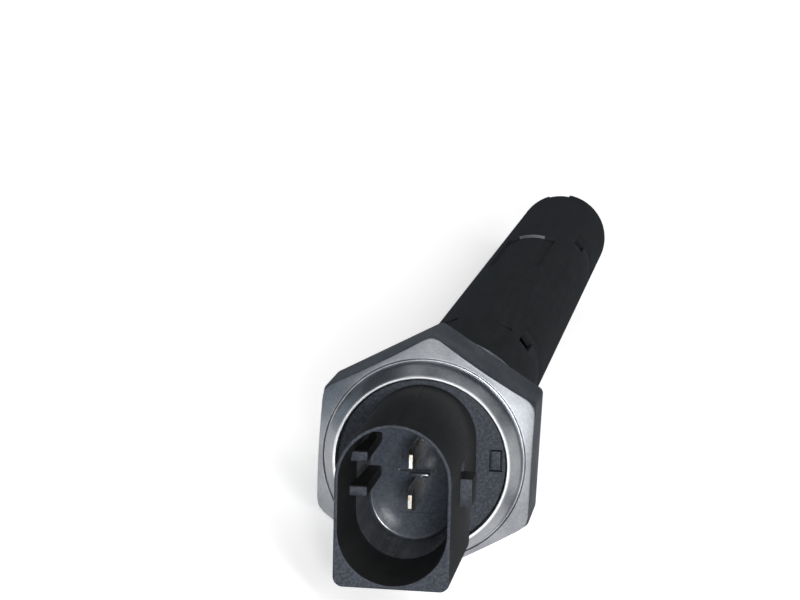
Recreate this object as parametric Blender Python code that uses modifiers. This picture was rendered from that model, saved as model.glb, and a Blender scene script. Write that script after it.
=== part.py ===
"""Screw-in oil level sensor: turned hexagon body, two-blade connector and a long slotted probe tube.

Along the sensor the script counts from the hexagon's sealing side: positive towards the probe tube's
free end, negative towards the connector. The sensor lies on one flat of its hexagon, with the tube
along +Y. World origin: middle of the lying sensor's footprint.
"""

import math

import bmesh
import bpy

MM = 0.001

# Fits shared by all pieces
GAP = 0.3 * MM
SEAL_GAP = 0.2 * MM
ROUND_STEPS = 48
SMALL_STEPS = 20
MERGE = 0.000005
OVERRUN = 1.0 * MM

# Hexagon body, turned and threaded from steel bar
HEX_ACROSS_FLATS = 27.0 * MM
HEX_LENGTH = 12.1 * MM
HEX_CHAMFER_FACE_RADIUS = 13.2 * MM
HEX_CHAMFER_ANGLE = math.radians(32.0)
COLLAR_RADIUS = 12.5 * MM
COLLAR_LENGTH = 2.8 * MM
LIP_INNER_RADIUS = 10.9 * MM
LIP_THICKNESS = 1.0 * MM
LIP_ROUNDING = 1.0 * MM
UNDERCUT_RADIUS = 9.5 * MM
UNDERCUT_LENGTH = 4.2 * MM
UNDERCUT_FILLET = 0.7 * MM
THREAD_RADIUS = 10.0 * MM
THREAD_PITCH = 1.5 * MM
THREAD_DEPTH = 0.85 * MM
THREAD_TURNS = 7
THREAD_FLAT = 0.12
NOSE_LENGTH = 2.8 * MM
NOSE_TIP_RADIUS = 7.75 * MM
NOSE_CRIMP = 0.5 * MM
BORE_RADIUS = 7.2 * MM

# Crush washer, loose round the undercut
WASHER_CLEARANCE = 0.2 * MM
WASHER_BAND = 2.8 * MM
WASHER_THICKNESS = 1.5 * MM
WASHER_EDGE = 0.2 * MM
WASHER_STANDOFF = 0.2 * MM
WASHER_TILT = math.radians(3.2)

# Connector housing, one plastic moulding held by the rolled lip
FLANGE_SEAT_DEPTH = 2.6 * MM
FLANGE_STEP = 0.8 * MM
FLANGE_SETBACK = 0.7 * MM
HOUSING_SPIGOT_WALL = 1.2 * MM
HOUSING_SPIGOT_LENGTH = 7.5 * MM
CONNECTOR_REACH = 24.2 * MM
CONNECTOR_WIDTH = 13.7 * MM
CONNECTOR_CROWN = 9.98 * MM
CONNECTOR_FOOT = 9.5 * MM
CONNECTOR_NECK_FOOT = 5.3 * MM
CONNECTOR_NECK_LENGTH = 4.7 * MM
CONNECTOR_CORNER = 1.2 * MM
CONNECTOR_CLOCKING = math.radians(-32.0)
SOCKET_RIM = 0.45 * MM
SOCKET_WALL = 0.95 * MM
SOCKET_MOUTH_DEPTH = 9.8 * MM
SOCKET_DEPTH = 18.2 * MM
SOCKET_DRAFT = 0.45 * MM
KEY_RIB_WIDTH = 1.3 * MM
KEY_RIB_HEIGHT = 1.9 * MM
KEY_RIB_SETBACK = 7.0 * MM
KEY_RIB_CENTRES = (-4.5 * MM, -0.3 * MM)
LUG_HEIGHT = 1.45 * MM
LUG_WIDTH = 3.4 * MM
LUG_LENGTH = 4.3 * MM
LUG_SETBACK = 8.6 * MM
LUG_CENTRE = -0.4 * MM
POCKET_LENGTH = 2.8 * MM
POCKET_WIDTH = 1.6 * MM
POCKET_DEPTH = 0.6 * MM
POCKET_REACH = 9.3 * MM
POCKET_CENTRE = -0.8 * MM

# Flange seal
FLANGE_SEAL_CORD = 1.6 * MM
FLANGE_SEAL_RADIUS = 9.6 * MM

# Terminal blades
BLADE_WIDTH = 2.7 * MM
BLADE_THICKNESS = 0.8 * MM
BLADE_TIP_SETBACK = 9.1 * MM
BLADE_TIP_CHAMFER = 0.25 * MM
BLADE_EDGE = 0.12 * MM
BLADE_OFFSET = 0.8 * MM
BLADE_PITCH = 4.9 * MM
BLADE_PAIR_CENTRE = -1.25 * MM
BLADE_TAIL = 4.0 * MM

# Potting resin behind the blades
POTTING_WEB = 1.7 * MM
POTTING_DEPTH = 6.6 * MM

# Protective tube, one plastic moulding
TUBE_RADIUS = 9.0 * MM
TUBE_TIP_RADIUS = 8.85 * MM
TUBE_WALL = 1.3 * MM
TUBE_START = 18.1 * MM
TUBE_END = 200.0 * MM
TUBE_EDGE = 0.35 * MM
TUBE_SHOULDER = 1.2 * MM
SPIGOT_LENGTH = 15.0 * MM
SPIGOT_WALL = 1.6 * MM
SPIGOT_NECK_DEPTH = 0.5 * MM
WINDOW_CENTRES = (46.6 * MM, 152.5 * MM)
WINDOW_HEIGHT = 8.8 * MM
WINDOW_ANGLES = (math.radians(15.0), math.radians(75.0))
LABEL_SPAN = (102.5 * MM, 136.0 * MM)
LABEL_ANGLES = (math.radians(-65.0), math.radians(-7.0))
LABEL_DEPTH = 0.5 * MM
VENT_RADIUS = 1.35 * MM
VENT_POSITION = 43.9 * MM
VENT_ANGLES = (math.radians(-4.0), math.radians(-58.0))
END_NOTCH_ANGLES = (math.radians(-50.0), math.radians(-23.0))
END_NOTCH_DEPTH = 3.0 * MM
END_LOW_ANGLES = (math.radians(-170.0), math.radians(-50.0))
END_LOW_DEPTH = 0.7 * MM
LATCH_WINDOW_LENGTH = 7.0 * MM
LATCH_WINDOW_SETBACK = 9.6 * MM
LATCH_WINDOW_HALF_ANGLE = math.radians(15.0)

# Seal between the tube's spigot and the bore
SPIGOT_SEAL_CORD = 1.2 * MM
SPIGOT_SEAL_POSITION = 9.0 * MM

# Wire carrier, the moulded spine inside the tube
CARRIER_START = 1.0 * MM
CARRIER_SETBACK = 1.6 * MM
CARRIER_NECK_HALF_WIDTH = 4.0 * MM
CARRIER_NECK_END = 22.0 * MM
CARRIER_HALF_WIDTH = 6.2 * MM
CARRIER_WEB = 1.4 * MM
CARRIER_RAIL_THICKNESS = 1.2 * MM
CARRIER_RAIL_HEIGHT = 5.0 * MM
CARRIER_RAIL_SETBACK = 0.5 * MM
CARRIER_CLOCKING = math.radians(-37.5)
TONGUE_ANGLES = (math.radians(30.0), math.radians(74.0))
TONGUE_SLIT = 0.8 * MM
TONGUE_THICKNESS = 1.5 * MM
TONGUE_STEM_WIDTH = 2.4 * MM
TONGUE_STEM_LENGTH = 4.0 * MM

# Leads, their sleeves, and the crimps on the sensing wire
LEAD_RADIUS = 0.45 * MM
LEAD_STRAIGHT = 0.5 * MM
LEAD_BEND = 6.5 * MM
LEAD_END = 41.0 * MM
TRACK_HALF_PITCH = 2.6 * MM
TRACK_SIDES = (-1.0, 1.0)
SLEEVE_WALL = 0.3 * MM
SLEEVE_SETBACK = 2.0 * MM
SLEEVE_BARE_LEAD = 3.0 * MM
FERRULE_RADIUS = 0.95 * MM
FERRULE_LENGTH = 6.0 * MM
SENSING_WIRE_RADIUS = 0.15 * MM

# Hook, spring and pin that keep the sensing wire tight
HOOK_SETBACK = 18.0 * MM
HOOK_THICKNESS = 2.0 * MM
HOOK_FLANGE = 0.5 * MM
HOOK_EYE_REACH = 5.6 * MM
HOOK_EYE_RADIUS = 0.6 * MM
SPRING_RADIUS = 0.9 * MM
SPRING_WIRE_RADIUS = 0.22 * MM
SPRING_TURNS = 6
SPRING_STEPS_PER_TURN = 10
PIN_RADIUS = 0.7 * MM
PIN_HEAD_RADIUS = 1.1 * MM
PIN_HEAD_LENGTH = 0.5 * MM
PIN_SETBACK = 4.5 * MM
PIN_GRIP = 1.0 * MM

# End plug with its two latches
PLUG_SKIRT = 3.8 * MM
PLUG_WALL = 1.2 * MM
PLUG_FACE_THICKNESS = 1.5 * MM
PLUG_RECESS = 1.2 * MM
PLUG_ORIFICE_RADIUS = 1.9 * MM
LATCH_REACH = 8.6 * MM

# Places that follow from the sizes above
AXIS_HEIGHT = HEX_ACROSS_FLATS / 2
HEX_CORNER_RADIUS = HEX_ACROSS_FLATS / 2 / math.cos(math.radians(30.0))
COLLAR_TOP = -(HEX_LENGTH + COLLAR_LENGTH)
LIP_UNDERSIDE = COLLAR_TOP + LIP_THICKNESS
FLANGE_FACE = COLLAR_TOP + FLANGE_SETBACK
FLANGE_RIM_FACE = LIP_UNDERSIDE + GAP
FLANGE_BACK = -(HEX_LENGTH - FLANGE_SEAT_DEPTH) - GAP
FLANGE_SEAT = FLANGE_BACK + GAP
FLANGE_RADIUS = COLLAR_RADIUS - FLANGE_STEP - GAP
CONNECTOR_END = COLLAR_TOP - CONNECTOR_REACH
CONNECTOR_LEDGE = COLLAR_TOP - CONNECTOR_NECK_LENGTH
SOCKET_STEP = CONNECTOR_END + SOCKET_MOUTH_DEPTH
SOCKET_FLOOR = CONNECTOR_END + SOCKET_DEPTH
SOCKET_BACK = FLANGE_FACE + POTTING_WEB
HOUSING_SPIGOT_RADIUS = BORE_RADIUS - GAP
HOUSING_SPIGOT_INNER = HOUSING_SPIGOT_RADIUS - HOUSING_SPIGOT_WALL
HOUSING_SPIGOT_END = FLANGE_BACK + HOUSING_SPIGOT_LENGTH
BLADE_TIP = CONNECTOR_END + BLADE_TIP_SETBACK
BLADE_BACK = SOCKET_BACK + BLADE_TAIL
BLADE_CENTRES = (BLADE_PAIR_CENTRE - BLADE_PITCH / 2, BLADE_PAIR_CENTRE + BLADE_PITCH / 2)
POTTING_START = SOCKET_BACK + GAP
POTTING_END = POTTING_START + POTTING_DEPTH
WASHER_INNER_RADIUS = THREAD_RADIUS + WASHER_CLEARANCE
WASHER_OUTER_RADIUS = WASHER_INNER_RADIUS + WASHER_BAND
THREAD_START = UNDERCUT_LENGTH
THREAD_END = THREAD_START + THREAD_PITCH * THREAD_TURNS
NOSE_START_RADIUS = THREAD_RADIUS - THREAD_DEPTH
NOSE_END = THREAD_END + NOSE_LENGTH
NOSE_INNER_RADIUS = BORE_RADIUS - NOSE_CRIMP
SPIGOT_START = TUBE_START - SPIGOT_LENGTH
SPIGOT_RADIUS = BORE_RADIUS - GAP
SPIGOT_NECK_RADIUS = SPIGOT_RADIUS - SPIGOT_NECK_DEPTH
SPIGOT_INNER_RADIUS = SPIGOT_RADIUS - SPIGOT_WALL
TUBE_INNER_RADIUS = TUBE_RADIUS - TUBE_WALL
TUBE_TIP_INNER_RADIUS = TUBE_TIP_RADIUS - TUBE_WALL
LATCH_WINDOW_END = TUBE_END - LATCH_WINDOW_SETBACK
LATCH_WINDOW_START = LATCH_WINDOW_END - LATCH_WINDOW_LENGTH
TRACK_WIDEST = max(FERRULE_RADIUS, HOOK_THICKNESS / 2, SPRING_RADIUS + SPRING_WIRE_RADIUS)
TRACK_HEIGHT = CARRIER_WEB / 2 + GAP + TRACK_WIDEST
SLEEVE_START = CARRIER_NECK_END + SLEEVE_SETBACK
SLEEVE_END = LEAD_END - SLEEVE_BARE_LEAD
FERRULE_START = LEAD_END + GAP
FERRULE_END = FERRULE_START + FERRULE_LENGTH
HOOK_GROOVE_RADIUS = TRACK_HALF_PITCH - SENSING_WIRE_RADIUS - GAP
HOOK_FLANGE_RADIUS = TRACK_HALF_PITCH + SENSING_WIRE_RADIUS
PLUG_RADIUS = TUBE_TIP_INNER_RADIUS - GAP
PLUG_END = TUBE_END - END_LOW_DEPTH - PLUG_RECESS
PLUG_START = LATCH_WINDOW_START - PLUG_SKIRT
CARRIER_END = PLUG_START - CARRIER_SETBACK
HOOK_POSITION = CARRIER_END - HOOK_SETBACK
PIN_POSITION = CARRIER_END - PIN_SETBACK
FOOTPRINT_MIDDLE = (TUBE_END + CONNECTOR_END) / 2


def collection(name):
    group = bpy.data.collections.new(name)
    bpy.context.scene.collection.children.link(group)
    return group


def material(name, colour, roughness, metallic):
    surface = bpy.data.materials.new(name)
    surface.use_nodes = True
    shader = surface.node_tree.nodes["Principled BSDF"]
    shader.inputs["Base Color"].default_value = (*colour, 1.0)
    shader.inputs["Roughness"].default_value = roughness
    shader.inputs["Metallic"].default_value = metallic
    return surface


def empty(name, parent, turn=(0.0, 0.0, 0.0), place=(0.0, 0.0, 0.0)):
    helper = bpy.data.objects.new(name, None)
    bpy.context.scene.collection.objects.link(helper)
    helper.parent = parent
    helper.rotation_euler = turn
    helper.location = place
    return helper


def put(name, mesh, surface, parent):
    """Link a mesh as a named piece, or as a cutter where it has no surface."""
    piece = bpy.data.objects.new(name, mesh)
    piece.parent = parent
    if surface is None:
        CUTTERS.objects.link(piece)
        piece.hide_render = True
        piece.display_type = "WIRE"
    else:
        PIECES.objects.link(piece)
        mesh.materials.append(surface)
    return piece


def smooth(piece, angle=35.0):
    piece.data.shade_smooth()
    piece.data.set_sharp_from_angle(angle=math.radians(angle))


def turned(name, profile, surface, parent, steps=ROUND_STEPS):
    """Turn a closed (radius, position) profile, listed down its outer side, about the sensor's axis."""
    mesh = bpy.data.meshes.new(name)
    points = [(radius, 0.0, along) for radius, along in profile]
    edges = [(i, (i + 1) % len(points)) for i in range(len(points))]
    if profile[0][0] < MERGE and profile[-1][0] < MERGE:
        edges.pop()
    mesh.from_pydata(points, edges, [])
    piece = put(name, mesh, surface, parent)
    screw = piece.modifiers.new("turn", "SCREW")
    screw.axis = "Z"
    screw.angle = math.tau
    screw.steps = steps
    screw.render_steps = steps
    screw.use_merge_vertices = True
    screw.merge_threshold = MERGE
    return piece


def mesh_of(source, name):
    """The evaluated mesh of a modifier stack or curve, with its loose caps welded."""
    bpy.context.view_layer.update()
    evaluated = source.evaluated_get(bpy.context.evaluated_depsgraph_get())
    mesh = bpy.data.meshes.new_from_object(evaluated)
    mesh.name = name
    work = bmesh.new()
    work.from_mesh(mesh)
    bmesh.ops.remove_doubles(work, verts=work.verts, dist=MERGE)
    work.to_mesh(mesh)
    work.free()
    return mesh


def from_curve(name, curve, surface, parent):
    """Turn a curve into a mesh piece, which Boolean modifiers can cut and join."""
    source = bpy.data.objects.new(name + "_curve", curve)
    bpy.context.scene.collection.objects.link(source)
    mesh = mesh_of(source, name)
    bpy.data.objects.remove(source)
    return put(name, mesh, surface, parent)


def prism(name, outline, start, end, surface, parent, taper=0.0):
    """A flat outline of (x, y) points carried from start to end; taper narrows it at end."""
    curve = bpy.data.curves.new(name, "CURVE")
    curve.dimensions = "2D"
    curve.fill_mode = "BOTH"
    curve.extrude = (end - start) / 2
    spline = curve.splines.new("POLY")
    spline.points.add(len(outline) - 1)
    for point, (x, y) in zip(spline.points, outline):
        point.co = (x, y, 0.0, 1.0)
    spline.use_cyclic_u = True
    piece = from_curve(name, curve, surface, parent)
    middle_y = (max(y for _, y in outline) + min(y for _, y in outline)) / 2
    half_x = max(x for x, _ in outline)
    half_y = max(y for _, y in outline) - middle_y
    for vertex in piece.data.vertices:
        if vertex.co.z > 0.0:
            vertex.co.x *= 1.0 - taper / half_x
            vertex.co.y = middle_y + (vertex.co.y - middle_y) * (1.0 - taper / half_y)
        vertex.co.z += (start + end) / 2
    return piece


def block(name, low, high, surface, parent, turn=0.0):
    """A box between two corners, turned about the sensor's axis."""
    bpy.ops.mesh.primitive_cube_add(size=1.0)
    cube = bpy.context.object
    mesh = cube.data
    bpy.data.objects.remove(cube)
    for vertex in mesh.vertices:
        vertex.co = [a + (b - a) * (c + 0.5) for a, b, c in zip(low, high, vertex.co)]
    piece = put(name, mesh, surface, parent)
    piece.rotation_euler[2] = turn
    return piece


def rod(name, radius, start, end, surface, parent, turn=(0.0, 0.0, 0.0), place=(0.0, 0.0, 0.0)):
    """A plain round bar between two positions on its own axis."""
    bpy.ops.mesh.primitive_cylinder_add(vertices=SMALL_STEPS, radius=radius, depth=end - start)
    bar = bpy.context.object
    mesh = bar.data
    bpy.data.objects.remove(bar)
    for vertex in mesh.vertices:
        vertex.co.z += (start + end) / 2
    piece = put(name, mesh, surface, parent)
    piece.rotation_euler = turn
    piece.location = place
    return piece


def sector(name, angles, radii, span, parent, steps=10):
    """A curved cutter: a stretch of ring between two angles, radii and positions."""
    inner, outer = radii
    turn = [angles[0] + (angles[1] - angles[0]) * i / steps for i in range(steps + 1)]
    near = [(inner * math.sin(a), -inner * math.cos(a)) for a in turn]
    far = [(outer * math.sin(a), -outer * math.cos(a)) for a in reversed(turn)]
    return prism(name, near + far, span[0], span[1], None, parent)


def ring_seal(name, radius, cord, position, surface, parent):
    bpy.ops.mesh.primitive_torus_add(
        major_radius=radius, minor_radius=cord / 2, major_segments=ROUND_STEPS, minor_segments=10
    )
    torus = bpy.context.object
    mesh = torus.data
    bpy.data.objects.remove(torus)
    for vertex in mesh.vertices:
        vertex.co.z += position
    return put(name, mesh, surface, parent)


def combine(piece, tool, operation):
    step = piece.modifiers.new(tool.name, "BOOLEAN")
    step.operation = operation
    step.object = tool
    step.solver = "EXACT"


def tube_curve(name, route, radius, surface, parent, resolution=2):
    """A round wire along a route of points, with closed ends."""
    curve = bpy.data.curves.new(name, "CURVE")
    curve.dimensions = "3D"
    curve.bevel_depth = radius
    curve.bevel_resolution = resolution
    curve.use_fill_caps = True
    spline = curve.splines.new("POLY")
    spline.points.add(len(route) - 1)
    for point, place in zip(spline.points, route):
        point.co = (*place, 1.0)
    piece = from_curve(name, curve, surface, parent)
    smooth(piece)
    return piece


def arc(centre, radius, start, end, steps):
    turn = [start + (end - start) * i / steps for i in range(steps + 1)]
    return [(centre[0] + radius * math.cos(a), centre[1] + radius * math.sin(a)) for a in turn]


def tombstone(half_width, crown, foot, corner):
    """Outline with a round crown and a square foot whose corners are eased."""
    points = arc((0.0, half_width - crown), half_width, math.pi, math.tau, 24)
    points += arc((half_width - corner, foot - corner), corner, 0.0, math.pi / 2, 5)
    points += arc((corner - half_width, foot - corner), corner, math.pi / 2, math.pi, 5)
    return points


def stadium(half_width, crown, foot):
    points = arc((0.0, half_width - crown), half_width, math.pi, math.tau, 24)
    points += arc((0.0, foot - half_width), half_width, 0.0, math.pi, 24)
    return points


def thread_profile():
    """Crests and roots of the thread as turned rings, from its far end back to the undercut."""
    points = []
    for turn in reversed(range(THREAD_TURNS)):
        start = THREAD_START + turn * THREAD_PITCH
        points.append((THREAD_RADIUS - THREAD_DEPTH, start + (1.0 - THREAD_FLAT / 2) * THREAD_PITCH))
        points.append((THREAD_RADIUS, start + (0.5 + THREAD_FLAT / 2) * THREAD_PITCH))
        points.append((THREAD_RADIUS, start + (0.5 - THREAD_FLAT / 2) * THREAD_PITCH))
        points.append((THREAD_RADIUS - THREAD_DEPTH, start + THREAD_FLAT / 2 * THREAD_PITCH))
    return points


def make_hex_body():
    bpy.ops.mesh.primitive_cylinder_add(vertices=6, radius=HEX_CORNER_RADIUS, depth=HEX_LENGTH)
    bar = bpy.context.object
    mesh = bar.data
    bpy.data.objects.remove(bar)
    quarter = math.pi / 2
    for vertex in mesh.vertices:
        x, y, z = vertex.co
        vertex.co = (
            x * math.cos(quarter) - y * math.sin(quarter),
            x * math.sin(quarter) + y * math.cos(quarter),
            z - HEX_LENGTH / 2,
        )
    body = put("hex_body", mesh, STEEL, AXIS)
    wide = 1.3 * HEX_CORNER_RADIUS
    drop = (wide - HEX_CHAMFER_FACE_RADIUS) * math.tan(HEX_CHAMFER_ANGLE)
    chamfer = turned(
        "hex_chamfer",
        [
            (0.0, HEX_LENGTH),
            (wide, HEX_LENGTH),
            (wide, drop - HEX_LENGTH),
            (HEX_CHAMFER_FACE_RADIUS, -HEX_LENGTH),
            (0.0, -HEX_LENGTH),
        ],
        None,
        AXIS,
        steps=2 * ROUND_STEPS,
    )
    combine(body, chamfer, "INTERSECT")
    fillet = arc(
        (UNDERCUT_RADIUS + UNDERCUT_FILLET, UNDERCUT_FILLET),
        UNDERCUT_FILLET,
        math.pi,
        1.5 * math.pi,
        4,
    )
    rolled = arc(
        (COLLAR_RADIUS - LIP_ROUNDING, COLLAR_TOP + LIP_ROUNDING),
        LIP_ROUNDING,
        0.0,
        -math.pi / 2,
        5,
    )
    middle = -HEX_LENGTH / 2
    shank = turned(
        "shank",
        [(0.0, NOSE_END), (NOSE_TIP_RADIUS, NOSE_END), (NOSE_START_RADIUS, THREAD_END)]
        + thread_profile()
        + [(UNDERCUT_RADIUS, THREAD_START)]
        + fillet
        + [(UNDERCUT_RADIUS + 2 * UNDERCUT_FILLET, 0.0)]
        + [(UNDERCUT_RADIUS + 2 * UNDERCUT_FILLET, middle), (COLLAR_RADIUS, middle)]
        + rolled
        + [(0.0, COLLAR_TOP)],
        None,
        AXIS,
    )
    combine(body, shank, "UNION")
    counterbore = FLANGE_RADIUS + GAP
    bore = turned(
        "bore",
        [
            (0.0, NOSE_END + BORE_RADIUS),
            (NOSE_INNER_RADIUS, NOSE_END + BORE_RADIUS),
            (NOSE_INNER_RADIUS, NOSE_END),
            (BORE_RADIUS, NOSE_END - 2 * NOSE_CRIMP),
            (BORE_RADIUS, FLANGE_SEAT),
            (counterbore, FLANGE_SEAT),
            (counterbore, LIP_UNDERSIDE),
            (LIP_INNER_RADIUS, LIP_UNDERSIDE - 0.2 * LIP_THICKNESS),
            (LIP_INNER_RADIUS, COLLAR_TOP - BORE_RADIUS),
            (0.0, COLLAR_TOP - BORE_RADIUS),
        ],
        None,
        AXIS,
    )
    combine(body, bore, "DIFFERENCE")


def make_washer():
    half = WASHER_THICKNESS / 2
    washer = turned(
        "sealing_washer",
        [
            (WASHER_INNER_RADIUS, half),
            (WASHER_OUTER_RADIUS - WASHER_EDGE, half),
            (WASHER_OUTER_RADIUS, half - WASHER_EDGE),
            (WASHER_OUTER_RADIUS, WASHER_EDGE - half),
            (WASHER_OUTER_RADIUS - WASHER_EDGE, -half),
            (WASHER_INNER_RADIUS, -half),
        ],
        ALUMINIUM,
        AXIS,
    )
    washer.location = (0.0, 0.0, UNDERCUT_LENGTH - WASHER_THICKNESS + WASHER_STANDOFF)
    washer.rotation_euler[1] = WASHER_TILT


def make_housing():
    seal_inner = FLANGE_SEAL_RADIUS - FLANGE_SEAL_CORD / 2 - SEAL_GAP
    groove_floor = FLANGE_BACK - (FLANGE_SEAL_CORD + 2 * SEAL_GAP - GAP)
    boss_radius = LIP_INNER_RADIUS - GAP
    housing = turned(
        "connector_housing",
        [
            (0.0, HOUSING_SPIGOT_END - GAP),
            (HOUSING_SPIGOT_RADIUS, HOUSING_SPIGOT_END - GAP),
            (HOUSING_SPIGOT_RADIUS, FLANGE_BACK),
            (seal_inner, FLANGE_BACK),
            (seal_inner, groove_floor),
            (FLANGE_RADIUS, groove_floor),
            (FLANGE_RADIUS, FLANGE_RIM_FACE),
            (boss_radius, FLANGE_RIM_FACE),
            (boss_radius, FLANGE_FACE),
            (0.0, FLANGE_FACE),
        ],
        BLACK_PLASTIC,
        CONNECTOR,
    )
    half = CONNECTOR_WIDTH / 2
    root = (FLANGE_FACE + FLANGE_BACK) / 2
    neck = prism(
        "connector_neck",
        tombstone(half, CONNECTOR_CROWN, CONNECTOR_NECK_FOOT, CONNECTOR_CORNER),
        CONNECTOR_LEDGE - OVERRUN,
        root,
        None,
        CONNECTOR,
    )
    shell = prism(
        "connector_shell",
        tombstone(half, CONNECTOR_CROWN, CONNECTOR_FOOT, CONNECTOR_CORNER),
        CONNECTOR_END,
        CONNECTOR_LEDGE,
        None,
        CONNECTOR,
    )
    lug = block(
        "lug",
        (half - SOCKET_RIM, LUG_CENTRE - LUG_WIDTH / 2, CONNECTOR_END + LUG_SETBACK),
        (half + LUG_HEIGHT, LUG_CENTRE + LUG_WIDTH / 2, CONNECTOR_END + LUG_SETBACK + LUG_LENGTH),
        None,
        CONNECTOR,
    )
    for tool in (neck, shell, lug):
        combine(housing, tool, "UNION")
    mouth = prism(
        "socket_mouth",
        stadium(half - SOCKET_RIM, CONNECTOR_CROWN - SOCKET_RIM, CONNECTOR_FOOT - SOCKET_RIM),
        CONNECTOR_END - OVERRUN,
        SOCKET_STEP,
        None,
        CONNECTOR,
        taper=0.6 * (SOCKET_WALL - SOCKET_RIM),
    )
    well = prism(
        "socket_well",
        stadium(half - SOCKET_WALL, CONNECTOR_CROWN - SOCKET_WALL, CONNECTOR_FOOT - SOCKET_WALL),
        SOCKET_STEP - OVERRUN,
        SOCKET_FLOOR,
        None,
        CONNECTOR,
        taper=SOCKET_DRAFT,
    )
    pocket = block(
        "pocket",
        (POCKET_REACH - POCKET_WIDTH / 2, POCKET_CENTRE - POCKET_LENGTH / 2, FLANGE_FACE - OVERRUN),
        (
            POCKET_REACH + POCKET_WIDTH / 2,
            POCKET_CENTRE + POCKET_LENGTH / 2,
            FLANGE_FACE + POCKET_DEPTH,
        ),
        None,
        CONNECTOR,
    )
    cavity = turned(
        "potting_cavity",
        [
            (0.0, HOUSING_SPIGOT_END + OVERRUN),
            (HOUSING_SPIGOT_INNER, HOUSING_SPIGOT_END + OVERRUN),
            (HOUSING_SPIGOT_INNER, SOCKET_BACK),
            (0.0, SOCKET_BACK),
        ],
        None,
        CONNECTOR,
    )
    for tool in (mouth, well, pocket, cavity):
        combine(housing, tool, "DIFFERENCE")
    for number, centre in enumerate(KEY_RIB_CENTRES):
        rib = block(
            f"key_rib_{number}",
            (SOCKET_RIM - half, centre - KEY_RIB_WIDTH / 2, CONNECTOR_END + KEY_RIB_SETBACK),
            (
                SOCKET_WALL + KEY_RIB_HEIGHT - half,
                centre + KEY_RIB_WIDTH / 2,
                SOCKET_FLOOR + OVERRUN,
            ),
            None,
            CONNECTOR,
        )
        combine(housing, rib, "UNION")
    for number, centre in enumerate(BLADE_CENTRES):
        slot = block(
            f"blade_slot_{number}",
            (
                BLADE_OFFSET - BLADE_THICKNESS / 2 - GAP,
                centre - BLADE_WIDTH / 2 - GAP,
                SOCKET_FLOOR - OVERRUN,
            ),
            (
                BLADE_OFFSET + BLADE_THICKNESS / 2 + GAP,
                centre + BLADE_WIDTH / 2 + GAP,
                SOCKET_BACK + OVERRUN,
            ),
            None,
            CONNECTOR,
        )
        combine(housing, slot, "DIFFERENCE")


def make_flange_seal():
    position = FLANGE_SEAT - SEAL_GAP - FLANGE_SEAL_CORD / 2
    ring_seal("flange_oring", FLANGE_SEAL_RADIUS, FLANGE_SEAL_CORD, position, RUBBER, AXIS)


def make_blades():
    coined = 1.0 - BLADE_TIP_CHAMFER / (BLADE_THICKNESS / 2)
    for name, centre in zip(("terminal_blade_upper", "terminal_blade_lower"), BLADE_CENTRES):
        blade = block(
            name,
            (BLADE_OFFSET - BLADE_THICKNESS / 2, centre - BLADE_WIDTH / 2, BLADE_TIP),
            (BLADE_OFFSET + BLADE_THICKNESS / 2, centre + BLADE_WIDTH / 2, BLADE_BACK),
            TINNED_BRASS,
            CONNECTOR,
        )
        for vertex in blade.data.vertices:
            if vertex.co.z < (BLADE_TIP + BLADE_BACK) / 2:
                vertex.co.x = BLADE_OFFSET + (vertex.co.x - BLADE_OFFSET) * coined
        edge = blade.modifiers.new("edges", "BEVEL")
        edge.width = BLADE_EDGE
        edge.segments = 1


def turn_about_axis(x, y, angle):
    return x * math.cos(angle) - y * math.sin(angle), x * math.sin(angle) + y * math.cos(angle)


def lead_route(blade_centre, side):
    """From a blade's tail, through the resin, over to its track beside the carrier's web."""
    start = turn_about_axis(BLADE_OFFSET, blade_centre, CONNECTOR_CLOCKING)
    end = turn_about_axis(TRACK_HALF_PITCH * side, TRACK_HEIGHT, CARRIER_CLOCKING + math.pi / 2)
    leave = POTTING_END + LEAD_STRAIGHT
    settle = leave + LEAD_BEND
    route = [(*start, BLADE_BACK + GAP), (*start, leave)]
    steps = 8
    for i in range(1, steps):
        share = i / steps
        ease = share * share * (3.0 - 2.0 * share)
        route.append(
            (
                start[0] + (end[0] - start[0]) * ease,
                start[1] + (end[1] - start[1]) * ease,
                leave + (settle - leave) * share,
            )
        )
    route.append((*end, settle))
    route.append((*end, LEAD_END))
    return route


def make_leads():
    for name, centre, side in zip(("lead_upper", "lead_lower"), BLADE_CENTRES, TRACK_SIDES):
        tube_curve(name, lead_route(centre, side), LEAD_RADIUS, COPPER, AXIS)


def make_sleeves():
    inner = LEAD_RADIUS + SEAL_GAP
    outer = inner + SLEEVE_WALL
    for name, side in zip(("lead_sleeve_upper", "lead_sleeve_lower"), TRACK_SIDES):
        sleeve = turned(
            name,
            [
                (outer, SLEEVE_END),
                (outer, SLEEVE_START),
                (inner, SLEEVE_START),
                (inner, SLEEVE_END),
            ],
            SLEEVE_PLASTIC,
            CARRIER,
            steps=SMALL_STEPS,
        )
        sleeve.location = (TRACK_HALF_PITCH * side, TRACK_HEIGHT, 0.0)


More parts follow.
